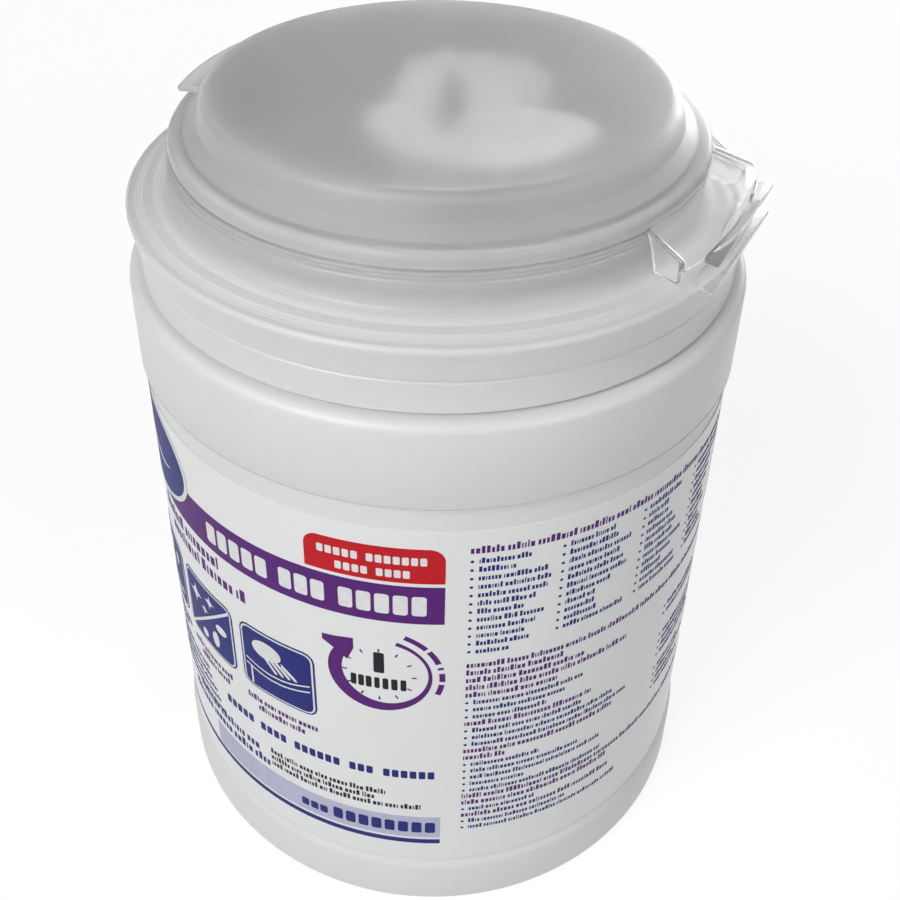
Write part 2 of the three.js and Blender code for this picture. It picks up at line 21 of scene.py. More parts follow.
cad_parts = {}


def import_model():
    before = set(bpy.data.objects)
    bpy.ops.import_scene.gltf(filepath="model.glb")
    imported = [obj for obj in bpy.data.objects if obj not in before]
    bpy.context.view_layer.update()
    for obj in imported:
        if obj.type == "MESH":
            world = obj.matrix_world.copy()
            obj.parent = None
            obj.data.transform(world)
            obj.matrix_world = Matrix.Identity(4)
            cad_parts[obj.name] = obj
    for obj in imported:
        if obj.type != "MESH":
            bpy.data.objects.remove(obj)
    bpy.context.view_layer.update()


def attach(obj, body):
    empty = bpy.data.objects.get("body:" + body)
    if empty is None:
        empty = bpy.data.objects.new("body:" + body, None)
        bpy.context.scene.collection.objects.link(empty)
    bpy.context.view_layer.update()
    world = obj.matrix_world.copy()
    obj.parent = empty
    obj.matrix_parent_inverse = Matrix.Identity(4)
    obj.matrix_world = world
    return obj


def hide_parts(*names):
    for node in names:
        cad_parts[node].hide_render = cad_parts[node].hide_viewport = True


LOG = logging.getLogger("canister")
MM = 0.001
FULL_TURN = 360.0
CAMERA_BEARING = -62.0

Colour = tuple[float, float, float, float]
Profile = list[tuple[float, float]]
Edge = Callable[[float], float]
PanelRow = tuple[bool, float, tuple[tuple[float, float], ...]]


class Body(Enum):
    """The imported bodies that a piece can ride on."""

    TUB = "tub"
    LID = "lid"
    CAP = "cap"


class Slot(Enum):
    """The record's material slots."""

    TUB = "tub"
    FROSTED = "frosted"
    LABEL = "label"
    WIPE = "wipe"
    NAVY = "navy"
    PURPLE = "purple"
    RED = "red"
    LAVENDER = "lavender"


# Finishes


class NodeTree:
    """A material's node tree, filled in small steps."""

    def __init__(self, name: str) -> None:
        """Start an empty material with a Principled shader.

        Args:
            name: The material's name.
        """
        self.material = bpy.data.materials.new(name)
        self.material.use_nodes = True
        self.nodes = self.material.node_tree.nodes
        self.links = self.material.node_tree.links
        self.shader = self.nodes["Principled BSDF"]
        self.coordinates = self.nodes.new("ShaderNodeTexCoord").outputs["Object"]

    def link(self, source: bpy.types.NodeSocket, target: bpy.types.NodeSocket) -> None:
        """Join two sockets."""
        self.links.new(source, target)

    def set(self, socket: str, value: float | Colour) -> None:
        """Set one of the shader's own sockets."""
        self.shader.inputs[socket].default_value = value

    def noise(self, scale: float, detail: float = 3.0, stretch: tuple[float, float, float] = (1, 1, 1)
              ) -> bpy.types.NodeSocket:
        """Add a noise on object coordinates.

        Args:
            scale: Noise scale per metre.
            detail: Octaves.
            stretch: Factors on the coordinates.

        Returns:
            The noise's grey socket.
        """
        mapping = self.nodes.new("ShaderNodeMapping")
        mapping.inputs["Scale"].default_value = stretch
        self.link(self.coordinates, mapping.inputs["Vector"])
        texture = self.nodes.new("ShaderNodeTexNoise")
        texture.inputs["Scale"].default_value = scale
        texture.inputs["Detail"].default_value = detail
        self.link(mapping.outputs["Vector"], texture.inputs["Vector"])
        return texture.outputs["Fac"]

    def ramp(self, source: bpy.types.NodeSocket, low: Colour, high: Colour) -> bpy.types.NodeSocket:
        """Turn a grey into a run between two colours.

        Args:
            source: The grey socket.
            low: Colour at 0.3.
            high: Colour at 0.7.

        Returns:
            The colour socket.
        """
        node = self.nodes.new("ShaderNodeValToRGB")
        node.color_ramp.elements[0].position = 0.3
        node.color_ramp.elements[0].color = low
        node.color_ramp.elements[1].position = 0.7
        node.color_ramp.elements[1].color = high
        self.link(source, node.inputs["Fac"])
        return node.outputs["Color"]

    def blend(self, source: bpy.types.NodeSocket, low: Colour, high: Colour) -> bpy.types.NodeSocket:
        """Mix two colours evenly by a grey.

        Args:
            source: The grey socket.
            low: Colour at 0.
            high: Colour at 1.

        Returns:
            The colour socket.
        """
        node = self.nodes.new("ShaderNodeMix")
        node.data_type = "RGBA"
        self.link(source, node.inputs["Factor"])
        node.inputs[6].default_value = low
        node.inputs[7].default_value = high
        return node.outputs[2]

    def spread(self, source: bpy.types.NodeSocket, low: float, high: float, start: float = 0.0,
               end: float = 1.0) -> bpy.types.NodeSocket:
        """Map a value to a range of values.

        Args:
            source: The value socket.
            low: Result at the start.
            high: Result at the end.
            start: Value where the run starts.
            end: Value where the run ends.

        Returns:
            The mapped socket.
        """
        node = self.nodes.new("ShaderNodeMapRange")
        node.inputs["From Min"].default_value = start
        node.inputs["From Max"].default_value = end
        node.inputs["To Min"].default_value = low
        node.inputs["To Max"].default_value = high
        self.link(source, node.inputs["Value"])
        return node.outputs["Result"]

    def bump(self, height: bpy.types.NodeSocket, depth: float, strength: float = 1.0) -> None:
        """Raise the surface by a grey socket.

        Args:
            height: The grey socket.
            depth: Depth in millimetres for the whole range of the grey.
            strength: Share of the effect.
        """
        node = self.nodes.new("ShaderNodeBump")
        node.inputs["Distance"].default_value = depth * MM
        node.inputs["Strength"].default_value = strength
        self.link(height, node.inputs["Height"])
        self.link(node.outputs["Normal"], self.shader.inputs["Normal"])

    def radius(self) -> bpy.types.NodeSocket:
        """Give the distance from the upright axis, in metres."""
        flat = self.nodes.new("ShaderNodeVectorMath")
        flat.operation = "MULTIPLY"
        flat.inputs[1].default_value = (1, 1, 0)
        self.link(self.coordinates, flat.inputs[0])
        length = self.nodes.new("ShaderNodeVectorMath")
        length.operation = "LENGTH"
        self.link(flat.outputs["Vector"], length.inputs[0])
        return length.outputs["Value"]

    def math(self, operation: str, first: bpy.types.NodeSocket, second: float | bpy.types.NodeSocket = 0.0
             ) -> bpy.types.NodeSocket:
        """Add a math node.

        Args:
            operation: The node's operation.
            first: First socket.
            second: Second socket or number.

        Returns:
            The value socket.
        """
        node = self.nodes.new("ShaderNodeMath")
        node.operation = operation
        self.link(first, node.inputs[0])
        if isinstance(second, (int, float)):
            node.inputs[1].default_value = second
        else:
            self.link(second, node.inputs[1])
        return node.outputs["Value"]


def grey(value: float, tint: float = 0.0) -> Colour:
    """Give a grey, a little blue for a positive tint."""
    return (value * (1 - tint), value * (1 - tint * 0.4), value, 1.0)


@dataclass(frozen=True)
class MouldedPlastic:
    """Opaque white polypropylene with a fine satin mould texture."""

    name: str
    light: float = 0.80
    dark: float = 0.775
    roughness: float = 0.38
    grain_scale: float = 900.0
    grain_depth: float = 0.012
    flow_scale: float = 25.0
    glow_share: float = 0.08
    glow_depth: float = 2.0

    def build(self) -> bpy.types.Material:
        """Make the material."""
        tree = NodeTree(self.name)
        flow = tree.noise(self.flow_scale, 2.0, (1, 1, 0.3))
        tree.link(tree.ramp(flow, grey(self.dark, 0.01), grey(self.light, 0.01)),
                  tree.shader.inputs["Base Color"])
        tree.link(tree.spread(flow, self.roughness - 0.03, self.roughness + 0.05),
                  tree.shader.inputs["Roughness"])
        tree.bump(tree.noise(self.grain_scale), self.grain_depth)
        tree.set("Subsurface Weight", self.glow_share)
        tree.set("Subsurface Scale", self.glow_depth * MM)
        return tree.material


@dataclass(frozen=True)
class FrostedPlastic:
    """Natural polypropylene: milky where it is thick or grained, clearer where it is polished."""

    name: str
    tone: float = 0.80
    transmission: float = 0.35
    roughness: float = 0.34
    ior: float = 1.49
    shine: float = 0.4
    haze_scale: float = 40.0
    grain_scale: float = 1400.0
    grain_depth: float = 0.008
    turned_rings: float = 0.0
    milky_transmission: float | None = None
    milky_from: float = 53.0
    milky_to: float = 57.5

    def build(self) -> bpy.types.Material:
        """Make the material."""
        tree = NodeTree(self.name)
        haze = tree.noise(self.haze_scale, 1.0)
        tree.link(tree.blend(haze, grey(self.tone * 0.97, 0.01), grey(self.tone, 0.01)),
                  tree.shader.inputs["Base Color"])
        tree.link(tree.spread(haze, self.roughness - 0.04, self.roughness + 0.06),
                  tree.shader.inputs["Roughness"])
        tree.set("Transmission Weight", self.transmission)
        tree.set("Specular IOR Level", self.shine)
        if self.milky_transmission is not None:
            share = tree.spread(tree.radius(), self.transmission, self.milky_transmission,
                                self.milky_from * MM, self.milky_to * MM)
            tree.link(share, tree.shader.inputs["Transmission Weight"])
        tree.set("IOR", self.ior)
        height = tree.noise(self.grain_scale)
        if self.turned_rings:
            rings = tree.math("SINE", tree.math("MULTIPLY", tree.radius(), self.turned_rings))
            height = tree.math("ADD", height, tree.math("MULTIPLY", rings, 2.0))
        tree.bump(height, self.grain_depth)
        return tree.material


@dataclass(frozen=True)
class LabelFilm:
    """White printed film under a satin varnish, with the faint ripple of a glued wrap."""

    name: str
    tone: float = 0.87
    roughness: float = 0.3
    shine: float = 0.35
    mottle_scale: float = 60.0
    ripple_scale: float = 35.0
    ripple_depth: float = 0.05

    def build(self) -> bpy.types.Material:
        """Make the material."""
        tree = NodeTree(self.name)
        mottle = tree.noise(self.mottle_scale, 4.0)
        tree.link(tree.ramp(mottle, grey(self.tone * 0.985, 0.01), grey(self.tone, 0.01)),
                  tree.shader.inputs["Base Color"])
        tree.link(tree.spread(mottle, self.roughness - 0.04, self.roughness + 0.04),
                  tree.shader.inputs["Roughness"])
        tree.bump(tree.noise(self.ripple_scale, 2.0, (1, 1, 0.4)), self.ripple_depth)
        tree.set("Specular IOR Level", self.shine)
        return tree.material


@dataclass(frozen=True)
class Ink:
    """Screen-printed ink: one colour, slightly uneven in body and gloss."""

    name: str
    colour: Colour
    roughness: float = 0.5
    shine: float = 0.15
    body_scale: float = 500.0
    body_depth: float = 0.004

    def build(self) -> bpy.types.Material:
        """Make the material."""
        tree = NodeTree(self.name)
        body = tree.noise(self.body_scale, 3.0)
        red, green, blue, _ = self.colour
        thin = (red * 0.9, green * 0.9, blue * 0.9, 1.0)
        tree.link(tree.ramp(body, thin, self.colour), tree.shader.inputs["Base Color"])
        tree.link(tree.spread(body, self.roughness - 0.05, self.roughness + 0.05),
                  tree.shader.inputs["Roughness"])
        tree.bump(body, self.body_depth)
        tree.set("Specular IOR Level", self.shine)
        return tree.material


@dataclass(frozen=True)
class NonWoven:
    """Moist non-woven wipe: fibre mesh with soft dimples."""

    name: str
    tone: float = 0.97
    fibre_scale: float = 1500.0
    dimple_scale: float = 420.0
    relief: float = 0.12
    sheen: float = 0.3
    sheen_roughness: float = 0.5

    def build(self) -> bpy.types.Material:
        """Make the material."""
        tree = NodeTree(self.name)
        fibre = tree.noise(self.fibre_scale, 5.0)
        tree.link(tree.ramp(fibre, grey(self.tone * 0.93), grey(self.tone)), tree.shader.inputs["Base Color"])
        tree.link(tree.spread(fibre, 0.7, 0.95), tree.shader.inputs["Roughness"])
        dimple = tree.noise(self.dimple_scale, 1.0)
        tree.bump(tree.math("ADD", fibre, dimple), self.relief)
        tree.set("Sheen Weight", self.sheen)
        tree.set("Sheen Roughness", self.sheen_roughness)
        return tree.material


@dataclass(frozen=True)
class RollWinding:
    """The roll's wound side and its end faces, whose turns show as fine rings with painted shade in the
    grooves between them.
    """

    name: str
    tone: float = 0.88
    turns_per_mm: float = 1.6
    wander_scale: float = 120.0
    wander: float = 6.0
    grain_scale: float = 800.0
    relief: float = 0.12

    def build(self) -> bpy.types.Material:
        """Make the material."""
        tree = NodeTree(self.name)
        phase = tree.math("MULTIPLY", tree.radius(), self.turns_per_mm / MM * math.tau)
        wander = tree.math("MULTIPLY", tree.noise(self.wander_scale), self.wander)
        rings = tree.math("SINE", tree.math("ADD", phase, wander))
        # Painted shade: the colour is darker in the grooves between the turns, where the bump is low, and
        # lighter on their crests.
        painted_groove_shade = tree.spread(rings, 0.4, 0.6)
        tree.link(tree.ramp(painted_groove_shade, grey(self.tone * 0.86), grey(self.tone)), tree.shader.inputs["Base Color"])
        tree.link(tree.spread(tree.noise(self.grain_scale), 0.75, 0.95), tree.shader.inputs["Roughness"])
        tree.bump(rings, self.relief)
        return tree.material


# Modelling steps shared by the pieces


class Bench:
    """Modelling operators that leave one finished object at the origin."""

    @staticmethod
    def clear_selection() -> None:
        """Leave nothing selected and object mode on."""
        if bpy.context.object and bpy.context.object.mode != "OBJECT":
            bpy.ops.object.mode_set(mode="OBJECT")
        bpy.ops.object.select_all(action="DESELECT")

    @staticmethod
    def activate(piece: bpy.types.Object) -> None:
        """Make a piece the only selected and the active one."""
        Bench.clear_selection()
        piece.select_set(True)
        bpy.context.view_layer.objects.active = piece

    @staticmethod
    def section(name: str, corners: Profile, bearing: float = 0.0) -> bpy.types.Object:
        """Lay out a section of [radius, height] corners in the half plane of a bearing.

        Args:
            name: The new object's name.
            corners: Corners in millimetres, in order round the section.
            bearing: Bearing of the half plane.

        Returns:
            The object, in object mode.
        """
        Bench.clear_selection()
        bpy.ops.mesh.primitive_circle_add(vertices=len(corners), radius=MM, fill_type="NOTHING")
        piece = bpy.context.object
        piece.name = name
        for vertex, (radius, height) in zip(piece.data.vertices, corners):
            vertex.co = cylinder_point(radius, bearing, height)
        return piece

    @staticmethod
    def spun(name: str, corners: Profile, start: float = 0.0, span: float = FULL_TURN, steps: int = 192
             ) -> bpy.types.Object:
        """Spin a section about the upright axis into a closed solid.

        Args:
            name: The new object's name.
            corners: Section corners in millimetres.
            start: Bearing where the spin starts.
            span: Angle of the spin.
            steps: Steps of the spin.

        Returns:
            The finished object.
        """
        piece = Bench.section(name, corners, start)
        bpy.ops.object.mode_set(mode="EDIT")
        bpy.ops.mesh.select_all(action="SELECT")
        bpy.ops.mesh.spin(steps=steps, angle=math.radians(span), center=(0, 0, 0), axis=(0, 0, -1))
        bpy.ops.mesh.select_all(action="SELECT")
        bpy.ops.mesh.remove_doubles(threshold=0.002 * MM)
        bpy.ops.mesh.delete_loose(use_verts=True, use_edges=True, use_faces=False)
        if span < FULL_TURN:
            bpy.ops.mesh.select_all(action="SELECT")
            bpy.ops.mesh.fill_holes(sides=0)
        bpy.ops.mesh.select_all(action="SELECT")
        bpy.ops.mesh.normals_make_consistent(inside=False)
        bpy.ops.object.mode_set(mode="OBJECT")
        return piece

    @staticmethod
    def slab(name: str, outline: list[tuple[float, float]], low: float, high: float) -> bpy.types.Object:
        """Extrude a flat outline upwards.

        Args:
            name: The new object's name.
            outline: Corners (x, y) in millimetres.
            low: Height of the underside.
            high: Height of the top.

        Returns:
            The finished object.
        """
        Bench.clear_selection()
        bpy.ops.mesh.primitive_circle_add(vertices=len(outline), radius=MM, fill_type="NGON")
        piece = bpy.context.object
        piece.name = name
        for vertex, (x, y) in zip(piece.data.vertices, outline):
            vertex.co = Vector((x, y, low)) * MM
        bpy.ops.object.mode_set(mode="EDIT")
        bpy.ops.mesh.select_all(action="SELECT")
        bpy.ops.mesh.extrude_region_move(TRANSFORM_OT_translate={"value": (0, 0, (high - low) * MM)})
        bpy.ops.mesh.select_all(action="SELECT")
        bpy.ops.mesh.normals_make_consistent(inside=False)
        bpy.ops.object.mode_set(mode="OBJECT")
        return piece

    @staticmethod
    def modifier(piece: bpy.types.Object, kind: str, **settings: object) -> None:
        """Add a modifier and apply it.

        Args:
            piece: The object.
            kind: The modifier's type.
            settings: Values of its settings.
        """
        Bench.activate(piece)
        added = piece.modifiers.new(kind.title(), kind)
        for key, value in settings.items():
            setattr(added, key, value)
        bpy.ops.object.modifier_apply(modifier=added.name)

    @staticmethod
    def soften(piece: bpy.types.Object, width: float, segments: int = 2, angle: float = 25.0) -> None:
        """Round a piece's edges.

        Args:
            piece: The object.
            width: Width of the rounding in millimetres.
            segments: Segments of the rounding.
            angle: Edges sharper than this are rounded.
        """
        Bench.modifier(piece, "BEVEL", width=width * MM, segments=segments, limit_method="ANGLE",
                       angle_limit=math.radians(angle), use_clamp_overlap=True)

    @staticmethod
    def smooth(piece: bpy.types.Object, angle: float = 40.0) -> None:
        """Shade a piece smooth up to an angle."""
        Bench.activate(piece)
        bpy.ops.object.shade_smooth_by_angle(angle=math.radians(angle))

    @staticmethod
    def cut(piece: bpy.types.Object, cutter: bpy.types.Object) -> None:
        """Take a cutter's space out of a piece and drop the cutter."""
        Bench.modifier(piece, "BOOLEAN", object=cutter, operation="DIFFERENCE", solver="EXACT")
        bpy.data.objects.remove(cutter)


def cylinder_point(radius: float, bearing: float, height: float) -> Vector:
    """Give the point in metres at a radius, bearing and height."""
    turn = math.radians(bearing)
    return Vector((radius * math.sin(turn), -radius * math.cos(turn), height)) * MM


def wedge(root: float, front: float, half_width: float) -> Profile:
    """Give the outline of a plate at the front, with a straight edge and sides that run to the axis.

    Args:
        root: Distance of its inner edge from the axis.
        front: Distance of its front edge.
        half_width: Half the width of its front edge.

    Returns:
        The corners (x, y).
    """
    root_half = half_width * root / front
    return [(-root_half, -root), (-half_width, -front), (half_width, -front), (root_half, -root)]


def place(piece: bpy.types.Object, body: Body, slot: Slot, material: bpy.types.Material, *nodes: str) -> None:
    """Dress a piece, let it ride on its body and stand for its solids.

    Args:
        piece: The finished object.
        body: The body that it rides on.
        slot: The record's slot of its finish, which is not used.
        material: The material.
        nodes: Solids that it replaces.
    """
    piece.data.materials.clear()
    piece.data.materials.append(material)
    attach(piece, body.value)
    if nodes:
        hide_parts(*nodes)
    LOG.info("%s rides on %s, %d faces", piece.name, body.value, len(piece.data.polygons))


# The tub and what it holds


@dataclass
class Tub:
    """Moulded tub: bumper, label panel, shoulder band and the neck under the lid."""

    radius: float = 65.0
    bumper_height: float = 13.6
    panel_radius: float = 64.05
    band_bottom: float = 124.9
    band_top: float = 144.6
    wall: float = 1.65
    floor: float = 1.8
    neck_radius: float = 60.6
    neck_wall: float = 1.6
    neck_top: float = 157.0
    base_fillet: float = 1.8
    shoulder_fillet: float = 1.8

    def profile(self) -> Profile:
        """Give the section from the base's middle, up the outside and back down inside."""
        inner = self.panel_radius - self.wall
        neck_inner = self.neck_radius - self.neck_wall
        return [
            (0, 0.9), (self.radius * 0.55, 0.9), (self.radius * 0.62, 0.0),
            *fillet(self.radius - self.base_fillet, self.base_fillet, self.base_fillet, -90, 0),
            (self.radius, self.bumper_height - 0.5),
            (self.radius - 0.2, self.bumper_height),
            (self.panel_radius + 0.1, self.bumper_height + 0.95),
            (self.panel_radius, self.bumper_height + 1.2),
            (self.panel_radius, self.band_bottom - 0.05),
            (self.panel_radius - 0.25, self.band_bottom + 0.1),
            (self.panel_radius - 0.25, self.band_bottom + 0.4),
            (self.radius - 0.12, self.band_bottom + 0.4), (self.radius, self.band_bottom + 0.5),
            (self.radius, self.band_bottom + 0.62), (self.radius - 0.7, self.band_bottom + 0.62),
            (self.radius - 0.7, self.band_bottom + 0.84), (self.radius - 0.05, self.band_bottom + 0.84),
            (self.radius, self.band_bottom + 0.95),
            *fillet(self.radius - self.shoulder_fillet, self.band_top - self.shoulder_fillet,
                    self.shoulder_fillet, 0, 90),
            (self.neck_radius + 0.4, self.band_top),
            (self.neck_radius, self.band_top + 0.4),
            (self.neck_radius, self.neck_top - 0.4),
            (self.neck_radius - 0.4, self.neck_top),
            (neck_inner + 0.4, self.neck_top),
            (neck_inner, self.neck_top - 0.4),
            (neck_inner, self.band_top - self.neck_wall),
            (inner, self.band_top - self.neck_wall - (inner - neck_inner) / 2),
            (inner, self.floor + 1.0), (inner - 1.0, self.floor), (0, self.floor),
        ]

    def build(self) -> None:
        """Model and dress the tub."""
        piece = Bench.spun("tub_shell", self.profile())
        Bench.smooth(piece, 32)
        place(piece, Body.TUB, Slot.TUB, MouldedPlastic("tub_plastic").build(), "tub")


def fillet(centre_radius: float, centre_height: float, size: float, start: float, end: float,
           steps: int = 5) -> Profile:
    """Give the corners of a rounding in a section.

    Args:
        centre_radius: Radius of the arc's middle.
        centre_height: Height of the arc's middle.
        size: The arc's own radius.
        start: Angle above the outward direction where it starts, in degrees.
        end: Angle where it ends.
        steps: Chords of the arc.

    Returns:
        The corners.
    """
    angles = [math.radians(start + (end - start) * i / steps) for i in range(steps + 1)]
    return [(centre_radius + size * math.cos(a), centre_height + size * math.sin(a)) for a in angles]


@dataclass
class WipesRoll:
    """The wound roll standing in the tub, soft at its rims."""

    radius: float = 58.0
    core_radius: float = 13.0
    foot: float = 1.8
    height: float = 148.2
    rim: float = 2.4

    def build(self) -> None:
        """Model and dress the roll."""
        top = self.foot + self.height
        corners = [
            (self.core_radius, self.foot + 0.3), (self.core_radius + 0.3, self.foot),
            *fillet(self.radius - self.rim, self.foot + self.rim, self.rim, -90, 0),
            (self.radius - 0.25, self.foot + self.height * 0.35),
            (self.radius - 0.1, self.foot + self.height * 0.7),
            *fillet(self.radius - self.rim, top - self.rim, self.rim, 0, 90),
            (self.radius * 0.7, top - 0.3), (self.radius * 0.45, top - 0.8),
            (self.core_radius + 1.2, top - 1.4), (self.core_radius, top - 2.4),
        ]
        piece = Bench.spun("roll_of_wipes", corners, steps=128)
        Bench.smooth(piece, 50)
        place(piece, Body.TUB, Slot.WIPE, RollWinding("roll_winding").build(), "wipes_roll")


@dataclass
class WipeEnd:
    """The end of the first wipe: gathered up the core, through the orifice, and lying open on the deck."""

    width: float = 152.0
    start_height: float = 118.0
    rope_radius: float = 2.4
    deck: float = 164.2
    spread: float = 22.5
    lobe: float = 3.6
    lean: float = 9.5
    lean_bearing: float = -8.0
    facing: float = -90.0
    ceiling: float = 179.3
    pleats: int = 18
    columns: int = 216
    opening: float = 8.0
    turn_share: float = 0.985
    twist: float = 25.0
    wave_phases: tuple[float, float, float] = (4.1, 4.79, 5.1)

    def spine(self) -> Profile:
        """Give the mean radius and height of the gathered sheet, from the core to its free edge."""
        deck = self.deck
        return [
            (self.rope_radius, self.start_height), (self.rope_radius, deck - 6), (3.0, deck + 0.5),
            (5.5, deck + 2.6), (9.5, deck + 4.4), (15.0, deck + 5.2), (20.0, deck + 7.0),
            (self.spread, deck + 9.0), (self.spread - 0.6, deck + 10.8), (self.spread - 3.5, deck + 11.9),
            (14.5, deck + 12.2), (9.5, deck + 11.4), (6.0, deck + 9.4),
        ]

    def row_points(self, radius: float, height: float, share: float) -> list[Vector]:
        """Give one row of the sheet, pleated so that its length stays the cut width.

        Args:
            radius: Mean radius of the row.
            height: Mean height of the row.
            share: Place of the row from 0, the core, to 1, the free edge.

        Returns:
            The row's points in metres.
        """
        round_length = math.tau * radius
        slack = max(0.0, self.width**2 - round_length**2)
        reach = math.sqrt(slack) / (4 * self.pleats)
        upright = min(1.0, max(0.0, (radius - self.rope_radius) / self.opening))
        pleat_phase, fold_phase, crease_phase = self.wave_phases
        points = []
        for i in range(self.columns):
            bearing = FULL_TURN * i / (self.columns - 1) * self.turn_share
            turn = math.radians(bearing)
            wave = math.sin(self.pleats * turn + pleat_phase * share)
            fold = math.radians(bearing - self.facing)
            slow = (math.sin(2 * fold + fold_phase + 2.5 * share) + 0.7 * math.sin(3 * fold + crease_phase)
                    + 0.5 * math.sin(5 * fold + 9 * share))
            out = radius + reach * wave * (1 - 0.65 * upright) + self.lobe * upright * slow
            up = height + reach * wave * 0.5 * upright + 0.7 * self.lobe * upright * slow
            up = min(self.ceiling, max(self.deck + 0.7, up)) if upright > 0 else up
            lean = cylinder_point(self.lean * upright**2, self.lean_bearing, 0)
            points.append(cylinder_point(max(0.3, out), bearing + self.twist * share, up) + lean)
        return points

    def build(self) -> None:
        """Model and dress the sheet."""
        spine = resampled(self.spine(), 1.6)
        rows = [self.row_points(radius, height, j / (len(spine) - 1))
                for j, (radius, height) in enumerate(spine)]
        points = [point for row in rows for point in row]
        n = self.columns
        faces = [(j * n + i, j * n + i + 1, (j + 1) * n + i + 1, (j + 1) * n + i)
                 for j in range(len(rows) - 1) for i in range(n - 1)]
        piece = mesh_object("wipe_pulled_up", points, faces)
        Bench.smooth(piece, 80)
        place(piece, Body.LID, Slot.WIPE, NonWoven("wipe_cloth").build(), "wipe_end")
        length = sum(math.dist(a, b) for a, b in zip(spine, spine[1:])) * MM


def resampled(line: Profile, step: float) -> Profile:
    """Cut a line into even short steps.

    Args:
        line: Corners of the line.
        step: Longest step.

    Returns:
        The corners with points between them.
    """
    result = [line[0]]
    for (x0, y0), (x1, y1) in zip(line, line[1:]):
        count = max(1, math.ceil(math.dist((x0, y0), (x1, y1)) / step))
        result += [(x0 + (x1 - x0) * i / count, y0 + (y1 - y0) * i / count) for i in range(1, count + 1)]
    return result


def mesh_object(name: str, points: list[Vector], faces: list[tuple[int, ...]]) -> bpy.types.Object:
    """Make an object from points in metres and faces."""
    mesh = bpy.data.meshes.new(name)
    mesh.from_pydata(points, [], faces)
    mesh.update()
    piece = bpy.data.objects.new(name, mesh)
    bpy.context.scene.collection.objects.link(piece)
    return piece


# The label and its print


@dataclass
class Label:
    """Wrap label in the panel's recess, overlapped at the back."""

    inner_radius: float = 64.1
    thickness: float = 0.2
    bottom: float = 16.2
    top: float = 119.5
    overlap_bearing: float = 122.0
    overlap_width: float = 8.0

    @property
    def radius(self) -> float:
        """The label's outside."""
        return self.inner_radius + self.thickness

    def build(self) -> None:
        """Model and dress the wrap and its overlap."""
        inner = self.inner_radius
        outer = self.radius
        film = LabelFilm("label_film").build()
        wrap = Bench.spun("label_wrap", [(inner, self.bottom), (outer, self.bottom), (outer, self.top),
                                         (inner, self.top)], steps=256)
        Bench.smooth(wrap, 30)
        place(wrap, Body.TUB, Slot.LABEL, film, "label")
        span = math.degrees(self.overlap_width / outer)
        flap_section = [(outer + 0.01, self.bottom), (outer + 0.13, self.bottom), (outer + 0.13, self.top),
                        (outer + 0.01, self.top)]
        flap = Bench.spun("label_overlap", flap_section, self.overlap_bearing, span, steps=8)
        Bench.smooth(flap, 30)
        place(flap, Body.TUB, Slot.LABEL, film)


